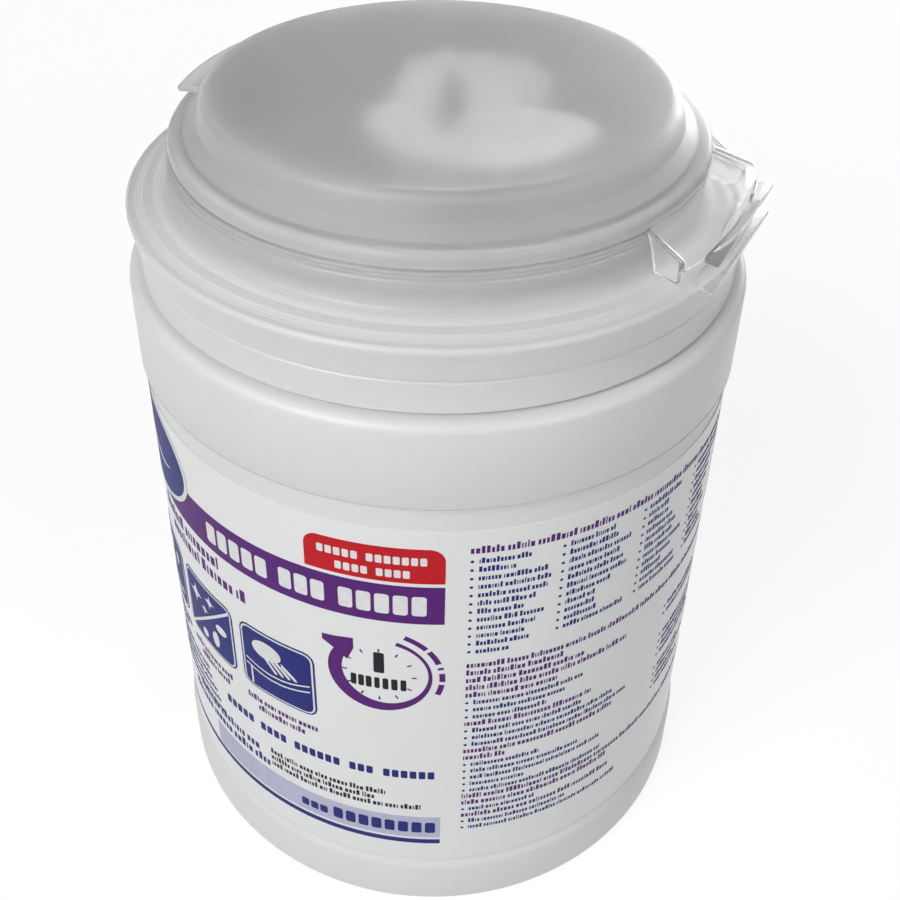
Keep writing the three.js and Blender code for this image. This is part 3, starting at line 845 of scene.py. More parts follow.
@dataclass
class Print:
    """One colour of print: flat shapes in label coordinates, bent round the label.

    A place on the label is (along, height): along is the arc from the front panel's right edge, growing to
    the right, and height is above the base, both in millimetres.
    """

    name: str
    ink: Ink
    slot: Slot
    replaced: tuple[str, ...] = ()
    layer: int = 1
    radius: float = 64.3
    edge_bearing: float = -60.0
    longest_step: float = 2.5
    ink_depth: float = 0.03
    points: list[Vector] = field(default_factory=list)
    faces: list[tuple[int, ...]] = field(default_factory=list)

    def wrapped(self, along: float, height: float) -> Vector:
        """Give the point of the label at a place."""
        lift = 0.01 + (self.layer - 1) * 0.05
        bearing = self.edge_bearing + math.degrees(along / self.radius)
        return cylinder_point(self.radius + lift, bearing, height)

    def strip(self, stations: list[tuple[float, float, float]]) -> None:
        """Add a shape from its stations (along, low, high)."""
        base = len(self.points)
        for along, low, high in stations:
            self.points.append(self.wrapped(along, low))
            self.points.append(self.wrapped(along, high))
        for i in range(len(stations) - 1):
            corner = base + 2 * i
            self.faces.append((corner, corner + 2, corner + 3, corner + 1))

    def shape(self, left: float, right: float, low: Edge, high: Edge, ends: int = 6) -> None:
        """Add a shape between two edges given as functions of the place along.

        Args:
            left: Left end.
            right: Right end.
            low: Height of the lower edge.
            high: Height of the upper edge.
            ends: Extra stations near each end, where roundings are.
        """
        span = right - left
        round_part = min(span / 2, 6.0)
        stops = {left, right}
        for i in range(1, ends + 1):
            reach = round_part * (i / ends) ** 2
            stops |= {left + reach, right - reach}
        count = math.ceil(span / self.longest_step)
        stops |= {left + span * i / count for i in range(1, count)}
        self.strip([(stop, low(stop), high(stop)) for stop in sorted(stops)])

    def bar(self, left: float, right: float, low: float, high: float, corner: float | None = None) -> None:
        """Add a bar with rounded corners.

        Args:
            left: Left end.
            right: Right end.
            low: Lower edge.
            high: Upper edge.
            corner: Radius of the corners, half the height where it isn't given.
        """
        size = (high - low) / 2 if corner is None else corner
        size = min(size, (right - left) / 2, (high - low) / 2)

        def inset(along: float) -> float:
            """How far the rounding draws the edge in at a place."""
            past = max(0.0, max(left + size - along, along - right + size)) / max(size, 1e-6)
            return size * (1 - math.sqrt(max(0.0, 1 - past * past)) * 0.999)

        stops = {left, left + size * 0.13, left + size * 0.5, left + size,
                 right, right - size * 0.13, right - size * 0.5, right - size}
        count = max(1, math.ceil((right - left) / self.longest_step))
        stops |= {left + (right - left) * i / count for i in range(1, count)}
        self.strip([(stop, low + inset(stop), high - inset(stop)) for stop in sorted(stops)])

    def ellipse(self, along: float, height: float, half_width: float, half_height: float) -> None:
        """Add a filled ellipse."""
        steps = 28
        stations = []
        for i in range(steps + 1):
            angle = math.pi * i / steps
            reach = half_height * max(0.01, math.sin(angle))
            stations.append((along - half_width * math.cos(angle), height - reach, height + reach))
        self.strip(stations)

    def ring(self, along: float, height: float, outer: float, widths: Edge, start: float, end: float) -> None:
        """Add part of a ring whose width changes round it.

        Args:
            along: Place of the middle.
            height: Height of the middle.
            outer: Outer radius.
            widths: Width at an angle.
            start: Start angle in degrees, 0 to the right and growing anticlockwise.
            end: End angle.
        """
        steps = max(6, math.ceil(abs(end - start) / 6))
        base = len(self.points)
        for i in range(steps + 1):
            degrees = start + (end - start) * i / steps
            angle = math.radians(degrees)
            for reach in (outer - widths(degrees), outer):
                spot = self.wrapped(along + reach * math.cos(angle), height + reach * math.sin(angle))
                self.points.append(spot)
        for i in range(steps):
            corner = base + 2 * i
            self.faces.append((corner, corner + 1, corner + 3, corner + 2))

    def blocks(self, left: float, counts: tuple[int, ...], low: float, high: float, wide: float, gap: float,
               space: float) -> None:
        """Add words of equal rounded blocks.

        Args:
            left: Left end of the line.
            counts: Blocks in each word.
            low: Foot of the blocks.
            high: Top of the blocks.
            wide: Width of a block.
            gap: Gap between blocks.
            space: Further gap between words.
        """
        along = left
        for count in counts:
            for _ in range(count):
                self.bar(along, along + wide, low, high, wide * 0.22)
                along += wide + gap
            along += space

    def words(self, left: float, right: float, low: float, size: float, chance: random.Random,
              length: tuple[float, float] = (2.4, 7.5)) -> None:
        """Add a line of words, each a row of small blocks.

        Args:
            left: Left end of the line.
            right: Right end of the line.
            low: Foot of the line.
            size: Height of the low blocks.
            chance: Source of the words' lengths.
            length: Shortest and longest word, as multiples of the height.
        """
        along = left
        while along < right - size:
            end = min(right, along + size * chance.uniform(*length))
            while along < end:
                wide = size * chance.choice((0.22, 0.42, 0.5, 0.6))
                rise = size * chance.choice((1.0, 1.0, 1.0, 1.4))
                self.strip([(along, low, low + rise), (along + wide, low, low + rise)])
                along += wide + size * 0.24
            along += size * 0.3

    def build(self) -> None:
        """Give the shapes their thickness and dress them."""
        piece = mesh_object(self.name, self.points, self.faces)
        Bench.modifier(piece, "SOLIDIFY", thickness=self.ink_depth * MM, offset=1.0)
        place(piece, Body.TUB, self.slot, self.ink.build(), *self.replaced)


@dataclass
class LabelArt:
    """The label's print: generic fields, icons and lines of blocks, with no lettering."""

    navy: Ink = Ink("ink_navy", (0.018, 0.024, 0.19, 1.0))
    purple: Ink = Ink("ink_purple", (0.105, 0.018, 0.19, 1.0))
    red: Ink = Ink("ink_red", (0.60, 0.014, 0.022, 1.0))
    lavender: Ink = Ink("ink_lavender", (0.56, 0.56, 0.74, 1.0))
    white: Ink = Ink("ink_white", (0.86, 0.86, 0.87, 1.0))
    black: Ink = Ink("ink_black", (0.012, 0.011, 0.018, 1.0))
    banner_length: float = 98.0
    banner_low: float = 95.0
    banner_high: float = 105.2
    flag_length: float = 27.8
    flag_high: float = 115.1
    flag_corner: float = 3.0
    badge_along: float = -81.5
    badge_height: float = 107.4
    badge_half_width: float = 19.1
    badge_half_height: float = 11.0
    icon_left_edges: tuple[float, ...] = (-47.0, -69.2, -91.4)
    icon_low: float = 60.0
    icon_size: float = 19.8
    clock_along: float = -13.1
    clock_height: float = 79.0
    clock_radius: float = 10.9
    strip_length: float = 62.0
    strip_low: float = 24.4
    strip_high: float = 32.0
    rule_length: float = 86.0
    rule_low: float = 22.1
    rule_high: float = 23.6
    panel_left: float = 4.6
    row_pitch: float = 2.28
    panel_rows: tuple[PanelRow, ...] = (
        (True, 86.0, ()), (True, 22.0, ()), (True, 26.0, ()), (True, 38.0, ()),
        (True, 20.0, ((52.0, 17.0), (74.0, 14.0))), (False, 26.0, ((52.0, 21.0), (74.0, 12.0))),
        (False, 22.0, ()), (False, 18.0, ()), (True, 29.0, ((52.0, 25.0),)),
        (False, 27.0, ((52.0, 17.0), (78.0, 10.0))), (False, 35.0, ((52.0, 24.0),)),
        (False, 40.0, ((52.0, 20.0),)), (True, 36.0, ()), (True, 9.0, ((52.0, 13.0), (72.0, 15.0))),
        (False, 17.0, ((52.0, 19.0), (74.0, 12.0))), (False, 27.0, ((52.0, 11.0), (72.0, 17.0))),
        (False, 33.0, ((52.0, 16.0),)), (False, 14.0, ()),
        (False, 34.0, ()), (True, 84.0, ()), (True, 36.0, ()), (False, 17.0, ()), (True, 38.0, ()),
        (False, 25.0, ()), (False, 41.0, ()),
    )
    seed: int = 11

    def build(self) -> None:
        """Model every colour of the print."""
        self.banner()
        self.badge()
        self.icons()
        self.clock()
        self.footer()
        self.front_lines()
        self.text_panel()

    def banner(self) -> None:
        """Banner and the flag above it, each with white word blocks."""
        low, high = self.banner_low, self.banner_high
        banner = Print("print_banner_field", self.purple, Slot.PURPLE, ("print_banner",))
        banner.shape(-self.banner_length, 0, lambda _: low, lambda _: high)
        banner.build()
        title = Print("print_banner_words", self.white, Slot.LABEL, layer=2)
        title.blocks(-54.6, (5, 3, 5), low + 2.3, low + 7.6, 2.9, 0.75, 2.2)
        title.build()
        flag = Print("print_flag_field", self.red, Slot.RED, ("print_flag",))
        corner = self.flag_corner

        def top(along: float) -> float:
            """Upper edge, rounded at both ends."""
            past = max(0.0, max(-self.flag_length + corner - along, along + corner)) / corner
            return self.flag_high - corner * (1 - math.sqrt(max(0.0, 1 - past * past)))

        flag.shape(-self.flag_length, 0, lambda s: high + 0.9, top)
        flag.build()
        lines = Print("print_flag_words", self.white, Slot.LABEL, layer=2)
        lines.blocks(-25.0, (5, 7), 110.9, 112.9, 1.3, 0.42, 1.3)
        lines.blocks(-21.4, (4, 4), 107.4, 109.4, 1.3, 0.42, 1.3)
        lines.build()

    def badge(self) -> None:
        """Plain oval badge with a pale rim, at the banner's left end."""
        along, height = self.badge_along, self.badge_height
        rim = Print("print_badge_rim", self.white, Slot.LABEL, layer=2)
        rim.ellipse(along, height, self.badge_half_width + 1.3, self.badge_half_height + 1.2)
        rim.build()
        badge = Print("print_badge_field", self.navy, Slot.NAVY, ("print_badge",), layer=3)
        badge.ellipse(along, height, self.badge_half_width, self.badge_half_height)
        badge.build()
        wave = Print("print_badge_wave", self.white, Slot.LABEL, layer=4)
        left, right = along - 11.5, along + 12.5

        def low(spot: float) -> float:
            """Lower edge of the wave."""
            return height - 1.0 + 2.0 * math.sin((spot - left) * 0.26)

        wave.shape(left, right, low,
                   lambda s: low(s) + 1.4 * math.sin((s - left) / (right - left) * math.pi))
        wave.build()

    def icons(self) -> None:
        """Three navy tiles: drops, sparkles and a wiped surface."""
        rims = Print("print_icon_rims", self.navy, Slot.NAVY)
        gaps = Print("print_icon_gaps", self.white, Slot.LABEL, layer=2)
        replaced = tuple(f"print_icon_{i}" for i in range(1, 4))
        tiles = Print("print_icon_tiles", self.navy, Slot.NAVY, replaced, layer=3)
        low, size = self.icon_low, self.icon_size
        for left in self.icon_left_edges:
            for sheet, inset, corner in ((rims, 0.0, 2.6), (gaps, 0.45, 2.2), (tiles, 0.9, 1.8)):
                sheet.bar(left + inset, left + size - inset, low + inset, low + size - inset, corner)
        for sheet in (rims, gaps, tiles):
            sheet.build()
        art = Print("print_icon_art", self.white, Slot.LABEL, layer=4)
        surface, sparkle, drops = self.icon_left_edges
        self.wiped_surface(art, surface)
        self.sparkles(art, sparkle)
        self.drops(art, drops)
        art.build()

    def wiped_surface(self, art: Print, left: float) -> None:
        """A folded cloth sweeping over a table edge."""
        foot = self.icon_low
        art.ellipse(left + 7.6, foot + 14.4, 3.9, 2.6)
        for i in range(4):
            start = left + 6.4 + i * 1.7
            top = foot + 13.6 - i * 0.2
            art.strip([(start, top - 1.1, top), (start + 3.2, top - 4.9 + i * 0.4, top - 3.8 + i * 0.4),
                       (start + 3.8, top - 5.0 + i * 0.4, top - 4.5 + i * 0.4)])

        def fold(level: float, bow: float, along: float) -> float:
            """Height of a fold line of the cloth."""
            return foot + level - bow * math.sin((along - left) * 0.17)

        for level, bow in ((9.4, 2.2), (7.6, 2.0)):
            art.shape(left + 1.4, left + 18.4, partial(fold, level, bow), partial(fold, level + 0.4, bow))
        art.shape(left + 2.6, left + 3.1, lambda s: foot + 1.4, lambda s: foot + 6.8)

    def sparkles(self, art: Print, left: float) -> None:
        """Two halves parted by a slanting line, with stars above and blots below."""
        foot = self.icon_low
        art.shape(left + 1.2, left + 18.6, lambda s: foot + (s - left) * 0.94,
                  lambda s: foot + (s - left) * 0.94 + 1)
        for along, height, size in ((5.2, 14.2, 2.9), (11.4, 15.8, 2.0), (8.8, 11.6, 1.5)):
            self.star(art, left + along, foot + height, size)
        art.ellipse(left + 15.2, foot + 10.0, 2.0, 1.3)
        art.ellipse(left + 12.6, foot + 5.2, 1.3, 2.4)
        art.ellipse(left + 7.8, foot + 3.4, 1.2, 1.3)

    def star(self, art: Print, along: float, height: float, size: float) -> None:
        """A four-pointed star with hollow sides."""
        stations = []
        for i in range(17):
            share = i / 8 - 1
            reach = size * (1 - math.sqrt(abs(share))) ** 1.6 + 0.02
            stations.append((along + share * size, height - reach, height + reach))
        art.strip(stations)

    def drops(self, art: Print, left: float) -> None:
        """Falling drops over a level."""
        foot = self.icon_low
        for along, height in ((5.0, 13.6), (10.0, 15.0), (15.0, 13.6), (10.0, 9.6)):
            art.ellipse(left + along, foot + height, 1.1, 1.8)
        art.shape(left + 2.4, left + 17.4, lambda s: foot + 3.4 + 0.5 * math.sin(s * 1.4),
                  lambda s: foot + 4.6 + 0.5 * math.sin(s * 1.4))

    def clock(self) -> None:
        """Timer ring that runs into an arrow head, with ticks and plain bars in the middle."""
        along, height, radius = self.clock_along, self.clock_height, self.clock_radius
        ring = Print("print_clock_ring", self.purple, Slot.PURPLE, ("print_clock", "print_clock_dial"))

        def width(degrees: float) -> float:
            """Width of the ring, widest near its arrow head."""
            thick = 0.5 + 0.5 * math.cos(math.radians(degrees - 205))
            return 0.7 + 2.5 * thick

        ring.ring(along, height, radius, width, 150, 430)
        ring.strip([(along - 11.9, height + 7.2, height + 8.8), (along - 9.4, height + 5.4, height + 9.0),
                    (along - 6.6, height + 3.0, height + 9.4), (along - 5.2, height + 6.6, height + 9.6)])
        for i in range(12):
            degrees = i * 30
            ring.ring(along, height, radius - 3.2, lambda _: 1.0, degrees - 1.4, degrees + 1.4)
        for start, end in ((66, 42), (38, 20), (15, 12), (7, -4), (-8, -22)):
            ring.ring(along, height, radius + 2.6, lambda _: 1.2, end, start)
        ring.build()
        middle = Print("print_clock_bars", self.black, Slot.NAVY)
        middle.bar(along - 1.1, along + 1.1, height + 0.6, height + 6.6, 0.4)
        for left, wide in ((-6.0, 1.2), (-4.4, 1.2), (-2.8, 1.2), (-1.0, 1.1), (0.7, 1.2), (2.5, 1.3),
                           (4.4, 1.2)):
            middle.bar(along + left, along + left + wide, height - 4.2, height - 0.9, 0.35)
        middle.build()

    def footer(self) -> None:
        """Pale strip with its blocks, and the rule under it."""
        strip = Print("print_footer_strip", self.lavender, Slot.LAVENDER, ("print_strip",))
        strip.shape(-self.strip_length, 0, lambda _: self.strip_low, lambda _: self.strip_high)
        strip.build()
        rule = Print("print_footer_rule", self.navy, Slot.NAVY, ("print_rule",))
        rule.shape(-self.rule_length, 0, lambda _: self.rule_low, lambda _: self.rule_high)
        rule.build()
        bars = Print("print_footer_bars", self.navy, Slot.NAVY, layer=2)
        low = self.strip_low
        bars.blocks(-24.8, (8,), low + 1.8, low + 5.6, 2.3, 0.75, 0)
        bars.blocks(-33.0, (3,), low + 2.0, low + 4.5, 1.9, 0.5, 0)
        bars.build()

    def front_lines(self) -> None:
        """Lines of words on the front panel, in purple, navy and black."""
        chance = random.Random(self.seed)
        purple = Print("print_purple_lines", self.purple, Slot.PURPLE, ("print_caption_1",))
        purple.words(-78, -50.5, 90.2, 2.4, chance)
        purple.words(-74, -44.0, 85.8, 2.4, chance)
        for left in self.icon_left_edges:
            purple.words(left + 0.6, left + 19.0, 55.2, 1.3, chance)
            purple.words(left + 3.6, left + 16.0, 52.6, 1.3, chance)
        purple.build()
        navy = Print("print_navy_lines", self.navy, Slot.NAVY, ("print_caption_2",))
        navy.blocks(-55, (5, 4, 6, 3, 6), 45.9, 48.4, 1.45, 0.5, 1.8)
        navy.words(-74, -42, self.strip_high + 1.6, 1.9, chance)
        navy.words(-70, -46, self.strip_high + 5.2, 1.9, chance)
        for i in range(5):
            navy.words(-84, -62 + i, 49.0 - 2.6 * i, 1.1, chance)
        navy.build()
        small = Print("print_small_lines", self.black, Slot.NAVY, ("print_caption_3",))
        for level, right in ((39.2, -12.0), (37.0, -15.0), (34.8, -3.2)):
            small.words(-41, right, level, 1.2, chance, (1.6, 4.0))
        small.build()

    def text_panel(self) -> None:
        """The side panel: a heading, five columns of list lines and rows of small print."""
        chance = random.Random(self.seed + 1)
        replaced = tuple(f"print_line_{i}" for i in range(1, 8))
        navy = Print("print_panel_lines", self.navy, Slot.NAVY, replaced)
        heads = Print("print_panel_heads", self.purple, Slot.PURPLE)
        left = self.panel_left
        heads.words(left, left + 88, 113.9, 1.3, chance)
        for column, start in enumerate((left, 22.9, 42.6, 60.6, 78.0)):
            for row in range(12 if column == 0 else 11):
                end = start + chance.uniform(8.0, 16.5)
                self.list_line(navy, start, end, 111.3 - self.row_pitch * row, chance)
        for row, (is_head, length, others) in enumerate(self.panel_rows):
            level = 82.0 - self.row_pitch * row
            if is_head:
                heads.words(left, left + length, level, 1.15, chance)
            else:
                self.list_line(navy, left, left + length, level, chance)
            for start, width in others:
                self.list_line(navy, left + start, left + start + width, level + 0.4, chance)
        navy.build()
        heads.build()

    def list_line(self, sheet: Print, left: float, right: float, level: float, chance: random.Random) -> None:
        """Add a dot and a line of words after it.

        Args:
            sheet: The colour that takes them.
            left: Place of the dot.
            right: Right end of the line.
            level: Foot of the line.
            chance: Source of the words' lengths.
        """
        sheet.bar(left, left + 0.7, level + 0.15, level + 0.85)
        sheet.words(left + 1.7, right, level, 1.0, chance)


# The lid and the flip cap


@dataclass
class Lid:
    """Frosted lid: skirt, rounded lip, sloped collar, turret, well and deck."""

    skirt_radius: float = 62.1
    skirt_inner: float = 61.0
    skirt_bottom: float = 145.3
    lip_radius: float = 63.7
    lip_bottom: float = 152.8
    collar_top: float = 160.1
    turret_foot: float = 161.7
    turret_radius: float = 54.9
    seat: float = 169.0
    well_radius: float = 52.2
    deck_top: float = 164.2
    deck_thickness: float = 1.1
    orifice_radius: float = 10.0
    slit_count: int = 6
    slit_length: float = 7.0
    slit_width: float = 1.2
    plate_top: float = 160.6
    plate_thickness: float = 1.2
    plate_half_width: float = 17.4
    plate_front: float = 64.4
    land: float = 157.3
    seam_bearing: float = -21.2
    seam_span: float = 0.3
    hinge_half_angle: float = 14.0

    def profile(self) -> Profile:
        """Give the section, up the outside and back under the deck."""
        lip = self.lip_radius
        turret = self.turret_radius
        foot = self.turret_foot
        deck_bottom = self.deck_top - self.deck_thickness
        return [
            (self.skirt_radius - 0.25, self.skirt_bottom), (self.skirt_radius, self.skirt_bottom + 0.3),
            (self.skirt_radius, self.lip_bottom - 1.0), (self.skirt_radius - 0.25, self.lip_bottom - 0.7),
            (self.skirt_radius - 0.25, self.lip_bottom - 0.3), (self.skirt_radius + 0.5, self.lip_bottom),
            (lip - 0.95, self.lip_bottom + 0.9), (lip - 0.85, self.lip_bottom + 2.6),
            (lip - 0.45, self.lip_bottom + 4.4), (lip - 0.1, self.lip_bottom + 5.6),
            *fillet(lip - 0.9, self.lip_bottom + 6.3, 0.9, 0, 78, 6),
            (lip - 1.7, self.collar_top - 0.15), (lip - 2.0, self.collar_top - 0.02),
            (turret + 5.4, self.collar_top + 0.42), (turret + 5.2, self.collar_top + 0.62),
            (turret + 3.2, self.collar_top + 0.95), (turret + 3.0, self.collar_top + 1.15),
            (turret + 1.6, foot), (turret + 0.9, foot + 0.5), (turret + 0.5, foot + 1.2),
            (turret + 0.22, foot + 2.4), (turret + 0.08, foot + 4.0), (turret, self.seat - 1.8),
            (turret - 0.3, self.seat - 1.5), (turret - 0.3, self.seat - 0.9),
            (turret - 0.45, self.seat - 0.75), (turret - 0.45, self.seat - 0.3), (turret - 0.75, self.seat),
            (self.well_radius + 0.3, self.seat), (self.well_radius, self.seat - 0.3),
            (self.well_radius, self.deck_top + 1.2), (self.well_radius - 0.35, self.deck_top + 0.35),
            (self.well_radius - 1.2, self.deck_top), (self.orifice_radius + 2.2, self.deck_top),
            (self.orifice_radius + 1.6, self.deck_top + 0.5),
            (self.orifice_radius + 0.4, self.deck_top + 0.5),
            (self.orifice_radius, self.deck_top + 0.2), (self.orifice_radius, deck_bottom),
            (turret - 1.6, deck_bottom), (turret - 1.0, deck_bottom - 0.9), (turret + 0.3, foot - 1.3),
            (turret + 2.7, foot - 2.1), (self.skirt_inner - 2.2, self.land),
            (self.skirt_inner, self.land), (self.skirt_inner, self.skirt_bottom),
        ]

    def build(self) -> None:
        """Model and dress the lid, its front plate, hinge bar and skirt seam."""
        frosted = FrostedPlastic("lid_frosted", tone=0.95, transmission=0.88, roughness=0.3, ior=1.38,
                                 turned_rings=9000.0, milky_transmission=0.3).build()
        shell = Bench.spun("lid_shell", self.profile())
        self.cut_slits(shell)
        Bench.smooth(shell, 32)
        place(shell, Body.LID, Slot.FROSTED, frosted, "lid")
        self.front_plate()
        self.hinge_bar(frosted)
        self.skirt_seam(frosted)

    def cut_slits(self, shell: bpy.types.Object) -> None:
        """Cut the star of slits round the orifice."""
        reach = self.orifice_radius + self.slit_length
        half = self.slit_width / 2
        for i in range(self.slit_count // 2):
            outline = [(-half, -reach), (half, -reach), (half, reach), (-half, reach)]
            turn = Matrix.Rotation(math.radians(i * FULL_TURN / self.slit_count), 2)
            turned = [tuple(turn @ Vector(corner)) for corner in outline]
            cutter = Bench.slab("slit_cutter", turned, self.deck_top - 2.5, self.deck_top + 1.5)
            Bench.cut(shell, cutter)

    def front_plate(self) -> None:
        """Clear straight-edged plate on the collar, under the thumb tab."""
        outline = wedge(self.turret_radius + 5, self.plate_front, self.plate_half_width)
        plate = Bench.slab("lid_front_plate", outline, self.plate_top - self.plate_thickness, self.plate_top)
        Bench.soften(plate, 0.3)
        Bench.smooth(plate, 40)
        clear = FrostedPlastic("plate_clear", tone=0.97, transmission=0.9, roughness=0.08, ior=1.24).build()
        place(plate, Body.LID, Slot.FROSTED, clear)

    def skirt_seam(self, frosted: bpy.types.Material) -> None:
        """Fine upright mould seam on the skirt, under the tab's left side."""
        low = self.skirt_bottom + 0.4
        high = self.lip_bottom - 1.1
        reach = self.skirt_radius
        section = [(reach + 0.01, low), (reach + 0.09, low), (reach + 0.09, high), (reach + 0.01, high)]
        seam = Bench.spun("lid_skirt_seam", section, self.seam_bearing, self.seam_span, steps=2)
        Bench.smooth(seam, 40)
        place(seam, Body.LID, Slot.FROSTED, frosted)

    def hinge_bar(self, frosted: bpy.types.Material) -> None:
        """Bar of the living hinge on the turret's back."""
        turret = self.turret_radius
        top = self.seat - 0.1
        section = [(turret - 0.4, top - 3.2), (turret + 0.7, top - 3.0), (turret + 1.2, top - 2.2),
                   (turret + 1.2, top - 0.3), (turret + 0.9, top), (turret - 0.4, top)]
        half = self.hinge_half_angle
        bar = Bench.spun("lid_hinge_bar", section, 180 - half, 2 * half, steps=16)
        Bench.smooth(bar, 40)
        place(bar, Body.LID, Slot.FROSTED, frosted)


@dataclass
class FlipCap:
    """Frosted flip cap: domed shell, plug ring, hinge shelf and hollow thumb tab."""

    radius: float = 54.25
    bottom: float = 169.3
    flange_top: float = 173.0
    flange_width: float = 2.9
    wall: float = 1.1
    crease_radius: float = 48.5
    crease: float = 175.4
    dome_top: float = 182.0
    plug_outer: float = 51.4
    plug_bottom: float = 167.4
    shelf_thickness: float = 1.3
    shelf_half_angle: float = 21.0
    tab_radius: float = 63.4
    tab_half_angle: float = 20.0
    tab_root: float = 171.0
    tab_lip: float = 168.0
    tab_thickness: float = 1.1
    tab_flange: float = 165.3
    tab_flange_half_width: float = 17.2
    tab_front: float = 64.4
    side_bottom: float = 162.4

    def shell_profile(self) -> Profile:
        """Give the dome's section, from its top's middle down the outside and back up inside."""
        crease = self.crease_radius
        top = self.dome_top
        edge = crease - 3.3
        inner_flange = self.radius - self.flange_width
        return [
            (0, top), (edge * 0.33, top - 0.12), (edge * 0.67, top - 0.55), (edge - 2, top - 1.2),
            (edge, top - 1.5), (crease - 2.2, top - 1.85), (crease - 1.5, top - 2.35),
            (crease - 1.05, top - 3.0), (crease - 0.8, top - 3.8), (crease - 0.6, top - 4.6),
            (crease - 0.3, top - 5.8),
            (crease, self.crease), (crease + 0.5, self.crease - 0.3),
            (inner_flange - 0.3, self.flange_top + 0.15), (inner_flange + 0.1, self.flange_top),
            (self.radius - 1.2, self.flange_top - 0.3), (self.radius - 0.5, self.flange_top - 0.75),
            (self.radius - 0.1, self.flange_top - 1.4), (self.radius, self.flange_top - 2.0),
            (self.radius, self.bottom + 0.8), (self.radius - 0.15, self.bottom + 0.3),
            (self.radius - 0.6, self.bottom), (self.radius - 1.9, self.bottom),
            (self.radius - 1.9, self.flange_top - 1.6), (self.plug_outer, self.flange_top - 1.6),
            (self.plug_outer, self.plug_bottom + 0.4), (self.plug_outer - 0.4, self.plug_bottom),
            (self.plug_outer - self.wall + 0.2, self.plug_bottom),
            (self.plug_outer - self.wall, self.flange_top - 1.0),
            (crease - self.wall, self.crease - 0.7), (crease - self.wall - 0.5, top - 4.5),
            (crease - self.wall - 1.1, top - 3.5), (edge, top - 1.5 - self.wall),
            (edge * 0.67, top - 0.55 - self.wall), (0, top - self.wall),
        ]

    def build(self) -> None:
        """Model and dress the cap."""
        frosted = FrostedPlastic("cap_frosted", tone=0.96, transmission=0.88, roughness=0.36, ior=1.34,
                                 milky_transmission=0.8, milky_from=40.0, milky_to=47.5).build()
        shell = Bench.spun("cap_shell", self.shell_profile())
        Bench.smooth(shell, 32)
        place(shell, Body.CAP, Slot.FROSTED, frosted, "flip_cap")
        self.shelf(frosted)
        self.tab()

    def shelf(self, frosted: bpy.types.Material) -> None:
        """Thin shelf that stands out over the hinge."""
        top = self.crease + 0.1
        low = top - self.shelf_thickness
        section = [(self.crease_radius - 0.6, low), (self.radius - 0.3, low), (self.radius, low + 0.3),
                   (self.radius, top - 0.3), (self.radius - 0.3, top), (self.crease_radius - 0.6, top)]
        half = self.shelf_half_angle
        shelf = Bench.spun("cap_hinge_shelf", section, 180 - half, 2 * half, steps=24)
        Bench.soften(shelf, 0.3, angle=60)
        Bench.smooth(shelf, 40)
        place(shelf, Body.CAP, Slot.FROSTED, frosted)

    def tab(self) -> None:
        """Hollow thumb tab: sloped top with a turned-down lip, side walls and a straight-edged flange."""
        clear = FrostedPlastic("tab_clear", tone=0.97, transmission=0.9, roughness=0.08, ior=1.24).build()
        thick = self.tab_thickness
        outer = self.tab_radius
        root = self.radius - 0.6
        section = [
            (root, self.tab_root - thick), (outer - thick - 0.3, self.tab_lip - thick - 0.1),
            (outer - thick, self.tab_lip - thick - 0.6), (outer - thick, self.tab_flange),
            (outer, self.tab_flange), (outer, self.tab_lip - 0.7), (outer - 0.25, self.tab_lip - 0.2),
            (outer - 0.8, self.tab_lip + 0.1), (root, self.tab_root),
        ]
        half = self.tab_half_angle
        roof = Bench.spun("cap_tab_roof", section, -half, 2 * half, steps=24)
        Bench.soften(roof, 0.25, angle=50)
        side_section = [(self.radius + 3.0, self.side_bottom), (outer - thick - 0.05, self.side_bottom),
                        (outer - thick - 0.05, self.tab_lip - thick), (root + 1, self.tab_root - thick - 0.3),
                        (self.radius + 1.6, self.side_bottom + 4.5)]
        pieces = [roof]
        for name, start in (("cap_tab_side_left", -half), ("cap_tab_side_right", half - 1)):
            side = Bench.spun(name, side_section, start, 1.0, steps=2)
            Bench.soften(side, 0.15, angle=50)
            pieces.append(side)
        outline = wedge(outer - 1.9, self.tab_front, self.tab_flange_half_width)
        flange = Bench.slab("cap_tab_flange", outline, self.tab_flange, self.tab_flange + thick)
        Bench.soften(flange, 0.3)
        pieces.append(flange)
        for piece in pieces:
            Bench.smooth(piece, 40)
            place(piece, Body.CAP, Slot.FROSTED, clear)


# The studio


@dataclass
class PhotoCamera:
    """The photograph's camera, fitted to the rings of the canister.

    Lengths are shares of the shoulder band's radius; the picture is square.
    """

    unit: float = 65.0
    bearing: float = CAMERA_BEARING
    distance: float = 3.4753
    height: float = 4.24147
    down_angle: float = 34.8315
    roll: float = 0.8112
    focal_pixels: float = 1213.66
    middle_x: float = 437.114
    middle_y: float = 336.407
    picture: float = 900.0
    sensor: float = 36.0

    def build(self) -> None:
        """Add the camera and make it the scene's."""
        data = bpy.data.cameras.new("photo_camera")
        data.sensor_width = self.sensor
        data.lens = self.focal_pixels / self.picture * self.sensor
        data.shift_x = (self.picture / 2 - self.middle_x) / self.picture
        data.shift_y = (self.middle_y - self.picture / 2) / self.picture
        data.clip_start = 0.01
        camera = bpy.data.objects.new("photo_camera", data)
        bpy.context.scene.collection.objects.link(camera)
        spot = cylinder_point(self.distance * self.unit, self.bearing, self.height * self.unit)
        turn = Matrix.Rotation(math.radians(self.bearing), 4, "Z")
        tilt = Matrix.Rotation(math.radians(90 - self.down_angle), 4, "X")
        roll = Matrix.Rotation(math.radians(self.roll), 4, "Z")
        camera.matrix_world = Matrix.Translation(spot) @ turn @ tilt @ roll
        bpy.context.scene.camera = camera


